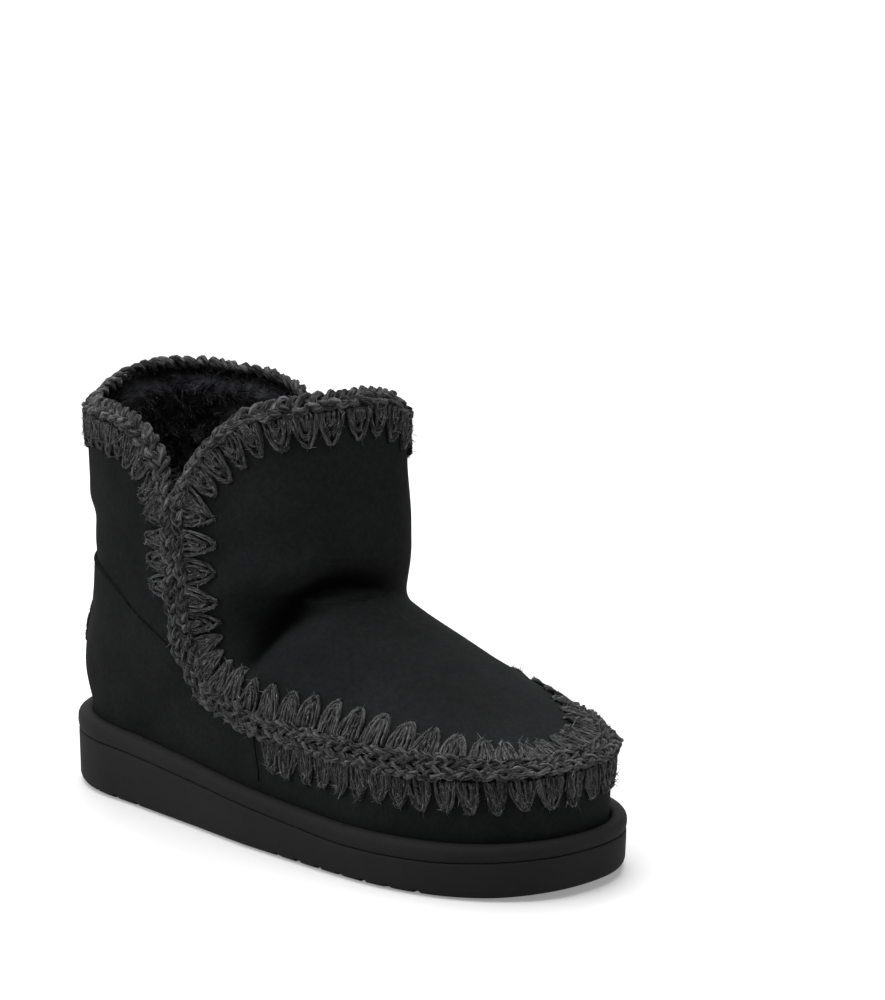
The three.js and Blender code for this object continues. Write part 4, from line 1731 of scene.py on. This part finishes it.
@dataclass
class Sole:
    """Foam sole: an outsole with a chevron tread, a rounded rim over a groove, and an insole."""

    form: SoleForm
    column_count: int = 680
    across: int = 14
    groove_width: float = 3.4
    groove_depth: float = 2.2
    groove_slope: float = 0.7
    groove_sweep: float = 0.1
    grooves: tuple[float, ...] = (-98, -86, -74, -62, -50, -38, -26, 66, 79.5, 93, 106.5)
    outsole_rows: Rings = (
        (Level.TREAD, 0.0, 3.8), (Level.TREAD, 0.15, 2.8), (Level.TREAD, 0.5, 2.0),
        (Level.TREAD, 1.0, 1.4), (Level.TREAD, 2.0, 0.8), (Level.TREAD, 3.4, 0.45),
        (Level.GROOVE, -4.0, 0.2), (Level.GROOVE, -1.2, 0.15), (Level.GROOVE, -0.5, 0.2),
        (Level.GROOVE, -0.2, 0.4), (Level.GROOVE, -0.08, 0.9), (Level.GROOVE, -0.05, 2.2),
    )
    rim_rows: Rings = (
        (Level.GROOVE, 0.05, 2.2), (Level.GROOVE, 0.08, 0.9), (Level.GROOVE, 0.3, 0.45),
        (Level.GROOVE, 0.9, 0.2), (Level.GROOVE, 1.8, 0.0), (Level.GROOVE, 3.0, -0.1),
        (Level.RIM, -2.2, 0.0), (Level.RIM, -1.4, 0.25), (Level.RIM, -0.8, 0.65),
        (Level.RIM, -0.35, 1.2), (Level.RIM, 0.0, 2.2), (Level.RIM, 0.1, 3.6),
        (Level.RIM, -0.1, 4.7), (Level.RIM, -0.6, 5.4), (Level.RIM, -1.4, 5.7),
        (Level.RIM, -4.0, 5.7),
    )
    insole_rows: Rings = (
        (Level.RIM, -3.7, 11.0), (Level.RIM, -2.7, 10.0), (Level.RIM, -0.2, 10.0),
        (Level.RIM, 1.0, 10.8), (Level.RIM, 1.3, 12.5),
    )

    def layer(self, rows: Rings) -> tuple[Array, Faces]:
        """Give a closed layer of the sole.

        Args:
            rows: Rings from below upwards: level, lift and inset.

        Returns:
            The points and the faces: the side, then the underside and the top across.
        """
        turns = self.form.even_turns(self.column_count)
        count = len(turns)
        half = count // 2
        rings = np.stack([self.form.ring(turns, *row) for row in rows])
        share = np.linspace(0.0, 1.0, self.across + 1)[:, None, None]
        caps = []
        for ring in (rings[0], rings[-1]):
            far = ring[(-np.arange(half + 1)) % count]
            caps.append(mix(ring[: half + 1], far, share))
        side = grid_faces(len(rows), count, wrap=True, flip=True)
        points = np.concatenate([part.reshape(-1, 3) for part in (rings, *caps)])
        first = len(rows) * count
        under = grid_faces(self.across + 1, half + 1) + first
        second = first + (self.across + 1) * (half + 1)
        top = grid_faces(self.across + 1, half + 1, flip=True) + second
        return points, np.concatenate([side, under, top])

    def outsole(self) -> Shape:
        """Make the outsole and cut its tread grooves.

        Returns:
            The outsole.
        """
        points, faces = self.layer(self.outsole_rows)
        for start in self.grooves:
            middle = start + self.groove_sweep * np.abs(points[:, 0]) + self.groove_width / 2.0
            inside = self.groove_width / 2.0 - np.abs(points[:, 1] - middle)
            cut = self.groove_depth * np.clip(inside / self.groove_slope, 0.0, 1.0)
            z = points[:, 2]
            points[:, 2] = np.maximum(z, np.where(z < self.groove_depth, cut, z))
        return Shape(points, faces)

    def insole(self) -> Shape:
        """Make the fleece insole, with a lumpy face.

        Returns:
            The insole.
        """
        points, faces = self.layer(self.insole_rows)
        rim = self.form.levels[Level.RIM](points[:, 1])
        loose = smooth_step(points[:, 2] - rim, 0.0, 1.3)
        points[:, 2] += loose * (1.2 * np.abs(Ripple(8, 9.0)(points)) - 0.8)
        return Shape(points, faces, np.full(len(points), 0.3))

    def build(self, foam: bpy.types.Material, fleece: bpy.types.Material) -> None:
        """Make the outsole, the rim and the insole.

        Args:
            foam: Finish of the outsole and rim.
            fleece: Finish of the insole.
        """
        self.outsole().piece("foam_outsole", foam, "outsole", ["outsole"])
        Shape(*self.layer(self.rim_rows)).piece("foam_rim", foam, "midsole", ["midsole"])
        self.insole().piece("fleece_insole", fleece, "insole", ["insole"])


@dataclass
class HeelPatch:
    """A plain leather patch on the back of the heel, sewn on round its edge."""

    upper: Upper
    bottom: float = 55.0
    top: float = 74.0
    half_turn: float = 0.125
    thickness: float = 1.6
    corner: float = 0.3
    rows: int = 25
    columns: int = 61
    stitch_count: int = 44
    stitch_height: float = 64.0

    def at(self, across: Array, rise: Array, lift: Array) -> Array:
        """Give points over the heel.

        Args:
            across: From -1 to 1 across the patch.
            rise: From -1 to 1 up it.
            lift: Height above the leather.

        Returns:
            Points.
        """
        turn = 1.0 + self.half_turn * across
        z = mix(self.bottom, self.top, (rise + 1.0) / 2.0)
        return self.upper.surface(turn, z) + self.upper.form.outward(turn, z) * lift[..., None]

    def leather(self) -> Shape:
        """Make the patch, rounded at its corners and edges.

        Returns:
            The patch.
        """
        v = np.sin(np.linspace(-1.0, 1.0, self.rows) * math.pi / 2.0)[:, None]
        u = np.sin(np.linspace(-1.0, 1.0, self.columns) * math.pi / 2.0)[None, :]
        bend = np.clip((np.abs(v) - (1.0 - self.corner)) / self.corner, 0.0, 1.0)
        width = 1.0 - 0.1 * (1.0 - np.sqrt(1.0 - bend**2))
        edge = np.maximum(np.abs(u), np.abs(v)) * np.ones_like(u * v)
        lift = self.thickness * (1.0 - smooth_step(edge, 0.9, 1.0) * 0.95)
        grid = self.at(u * width, v * np.ones_like(u), lift)
        return Shape(grid.reshape(-1, 3), grid_faces(self.rows, self.columns, flip=True))

    def stitches(self) -> Shape:
        """Sew the stitches round the patch.

        Returns:
            The stitches.
        """
        turn = np.linspace(0.0, 2.0 * math.pi, self.stitch_count, endpoint=False)[:, None]
        turn = turn + np.linspace(-0.04, 0.04, 5)
        across = 0.93 * np.sign(np.cos(turn)) * np.abs(np.cos(turn)) ** 0.25
        rise = 0.8 * np.sign(np.sin(turn)) * np.abs(np.sin(turn)) ** 0.25
        sunk = np.full(across.shape, self.thickness) + np.array([-0.5, -0.1, 0.0, -0.1, -0.5])
        path = self.at(across, rise, sunk)
        level = np.full(across.shape, self.stitch_height)
        ups = self.upper.form.outward(1.0 + self.half_turn * across, level)
        points, faces = tubes(path, ups, np.array([0.1, 0.2, 0.22, 0.2, 0.1]))
        return Shape(points, faces, np.full(len(points), 0.6))

    def build(self, leather: bpy.types.Material, thread_and_shade: bpy.types.Material) -> None:
        """Make the patch and its stitches.

        Args:
            leather: Finish of the patch.
            thread_and_shade: Finish of its stitches.
        """
        self.leather().piece("plain_patch", leather, "patch", ["heel_patch"])
        self.stitches().piece("patch_stitches", thread_and_shade, "patch")


@dataclass
class Studio:
    """Pale floor, soft lights and the camera."""

    azimuth: float = -43.7
    elevation: float = 14.5
    distance: float = 1.8
    lens: float = 160.9
    sensor: float = 36.0
    target: Place = (0.0, 0.0, 0.08)
    framing: tuple[float, float] = (0.0398, 0.0511)
    floor_tone: float = 0.45
    floor_gap: float = 0.0002
    glow: float = 0.25
    ambient: float = 0.2
    floor_front: float = 3.0
    floor_back: float = -2.5
    floor_bend: float = 1.5
    floor_rise: float = 5.0
    floor_half: float = 5.0

    @property
    def axes(self) -> tuple[Vector, Vector, Vector]:
        """The picture's own directions.

        Returns:
            To the camera, to the right of the picture, and up it.
        """
        az, el = math.radians(self.azimuth), math.radians(self.elevation)
        back = Vector((math.sin(az) * math.cos(el), -math.cos(az) * math.cos(el), math.sin(el)))
        right = Vector((0.0, 0.0, 1.0)).cross(back).normalized()
        return back, right, back.cross(right)

    @property
    def level(self) -> Vector:
        """Direction along the floor towards the camera."""
        back, _, _ = self.axes
        return Vector((back.x, back.y, 0.0)).normalized()

    def camera(self) -> None:
        """Set the camera so that the boot stands where the photograph has it."""
        back, right, up = self.axes
        lens = bpy.data.cameras.new("camera")
        lens.lens = self.lens
        lens.sensor_width = self.sensor
        holder = add_object("camera", lens)
        aim = Vector(self.target) + right * self.framing[0] + up * self.framing[1]
        holder.location = Vector(self.target) + back * self.distance
        holder.rotation_euler = (holder.location - aim).to_track_quat("Z", "Y").to_euler()
        bpy.context.scene.camera = holder

    def softbox(
        self, name: str, way: Place, size: float, power: float, ray: Place | None = None
    ) -> None:
        """Hang a soft light.

        Args:
            name: Name of the light.
            way: Where it hangs: metres to the right of the picture, up, and towards the camera.
            size: Width of the light in metres.
            power: Its power in watts.
            ray: Direction from what it lights to the light; from the boot if left out.
        """
        _, right, _ = self.axes
        lamp = bpy.data.lights.new(name, "AREA")
        lamp.size = size
        lamp.energy = power
        holder = add_object(name, lamp)
        holder.location = right * way[0] + Vector((0.0, 0.0, way[1])) + self.level * way[2]
        turned = Vector(ray) if ray else holder.location - Vector(self.target)
        holder.rotation_euler = turned.to_track_quat("Z", "Y").to_euler()

    @property
    def paper(self) -> Finish:
        """Finish of the floor.

        Returns:
            Pale paper that glows a little.
        """
        return Finish(
            "studio_paper",
            (self.floor_tone,) * 3,
            (self.floor_tone + 0.03,) * 3,
            blotch=2.0,
            grain=300.0,
            contrast=0.02,
            bump=0.02,
            specular=0.1,
            glow=self.glow,
        )

    def floor(self, groups: Groups) -> None:
        """Lay the floor, which curves up far behind the boot.

        Args:
            groups: The shared node groups.
        """
        _, right, _ = self.axes
        bend, far = np.linspace(0.0, math.pi / 2.0, 17), self.floor_back - self.floor_bend
        curve = self.floor_back - self.floor_bend * np.sin(bend)
        depth = np.concatenate([[self.floor_front, 0.0], curve, [far]])
        curve = self.floor_bend - self.floor_bend * np.cos(bend)
        rise = np.concatenate([[0.0, 0.0], curve, [self.floor_rise]]) - self.floor_gap
        across = np.linspace(-self.floor_half, self.floor_half, 3)
        rows = [self.level * d + Vector((0.0, 0.0, h)) for d, h in zip(depth, rise)]
        mesh = bpy.data.meshes.new("floor")
        points = [tuple(right * a + row) for row in rows for a in across]
        mesh.from_pydata(points, [], grid_faces(len(rows), len(across)).tolist())
        mesh.shade_smooth()
        mesh.materials.append(self.paper.material(groups))
        add_object("floor", mesh)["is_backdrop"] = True

    def build(self, groups: Groups) -> None:
        """Set up the floor, lights and camera.

        Args:
            groups: The shared node groups.
        """
        bpy.context.scene.view_settings.view_transform = "Standard"
        self.camera()
        self.floor(groups)
        self.softbox("top_light", (-0.2, 1.7, 0.0), 1.6, 54.0)
        self.softbox("left_light", (-1.6, 0.8, 0.2), 1.2, 17.0)
        self.softbox("right_light", (1.5, 0.5, 0.8), 1.0, 7.0)
        self.softbox("back_light", (0.0, 2.4, -3.0), 2.8, 130.0, (0.0, 0.0, 2.4))
        world = bpy.data.worlds.new("studio")
        world.use_nodes = True
        sky = world.node_tree.nodes["Background"]
        sky.inputs["Color"].default_value = WHITE
        sky.inputs["Strength"].default_value = self.ambient
        bpy.context.scene.world = world


# Black nubuck whose colour is darkened by painted shade in the ankle fold, through the tone
# attribute.
NUBUCK = CreaseShadeFinish(
    "black_nubuck",
    (0.0071, 0.0075, 0.0078),
    (0.0099, 0.0104, 0.0108),
    contrast=1.8,
    specular=0.02,
)
PATCH_LEATHER = Finish(
    "patch_leather",
    (0.009, 0.009, 0.0095),
    (0.012, 0.012, 0.0125),
    blotch=60.0,
    grain=900.0,
    contrast=0.4,
    bump=0.2,
    specular=0.05,
)
# Black finish of the stitches; it also gives the painted shade at each stitch hole and the painted
# shadow cords of the seams.
THREAD_AND_SHADE = TonedFinish(
    "black_thread_and_shade",
    (0.002, 0.002, 0.0022),
    (0.02, 0.02, 0.022),
    blotch=400.0,
    grain=3000.0,
    specular=0.05,
)
YARN = YarnFinish(
    "wool_yarn",
    (0.004, 0.004, 0.0042),
    (0.195, 0.195, 0.2),
    blotch=1.8,
    grain=3.5,
    contrast=1.8,
    bump=0.6,
    roughness=0.95,
    specular=0.03,
    sheen=0.04,
    spread=0.4,
    power=2.1,
)
FLEECE = TonedFinish(
    "shearling",
    (0.0046, 0.0047, 0.0053),
    (0.034, 0.0348, 0.0375),
    blotch=250.0,
    grain=1300.0,
    contrast=1.4,
    bump=0.6,
    bump_depth=0.0006,
    roughness=0.95,
    specular=0.03,
    sheen=0.03,
    spread=0.5,
)
FOAM = Finish(
    "moulded_foam",
    (0.013, 0.013, 0.0132), (0.0157, 0.0157, 0.016),
    blotch=18.0,
    grain=1500.0,
    contrast=0.35,
    bump=0.15,
    roughness=0.7,
    specular=0.03,
)


def write_sizes() -> None:
    """Gather the box of the solids and the box of the dressed boot."""
    boxes = {
        name: [[float(v) for v in corner] for corner in box]
        for name, box in (("cad", CAD_BOX), ("visual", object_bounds()))
    }


def main() -> None:
    """Build the boot's sub-assemblies in order, then the studio."""
    logging.basicConfig(level=logging.INFO, format="%(name)s: %(message)s")
    groups = Groups()
    nubuck, thread_and_shade, yarn, fleece, foam, patch = (
        finish.material(groups) for finish in (NUBUCK, THREAD_AND_SHADE, YARN, FLEECE, FOAM, PATCH_LEATHER)
    )
    sole_form = SoleForm()
    upper = Upper(UpperForm(sole_form))
    Sole(sole_form).build(foam, fleece)
    upper.build(nubuck, thread_and_shade)
    Lining(upper.form).build(fleece)
    Braid(upper, Panel.FRONT, "front_braid").build(yarn, thread_and_shade)
    Braid(upper, Panel.BACK, "back_braid").build(yarn, thread_and_shade)
    HeelPatch(upper).build(patch, thread_and_shade)
    Studio().build(groups)
    write_sizes()


if __name__ == "__main__":
    main()
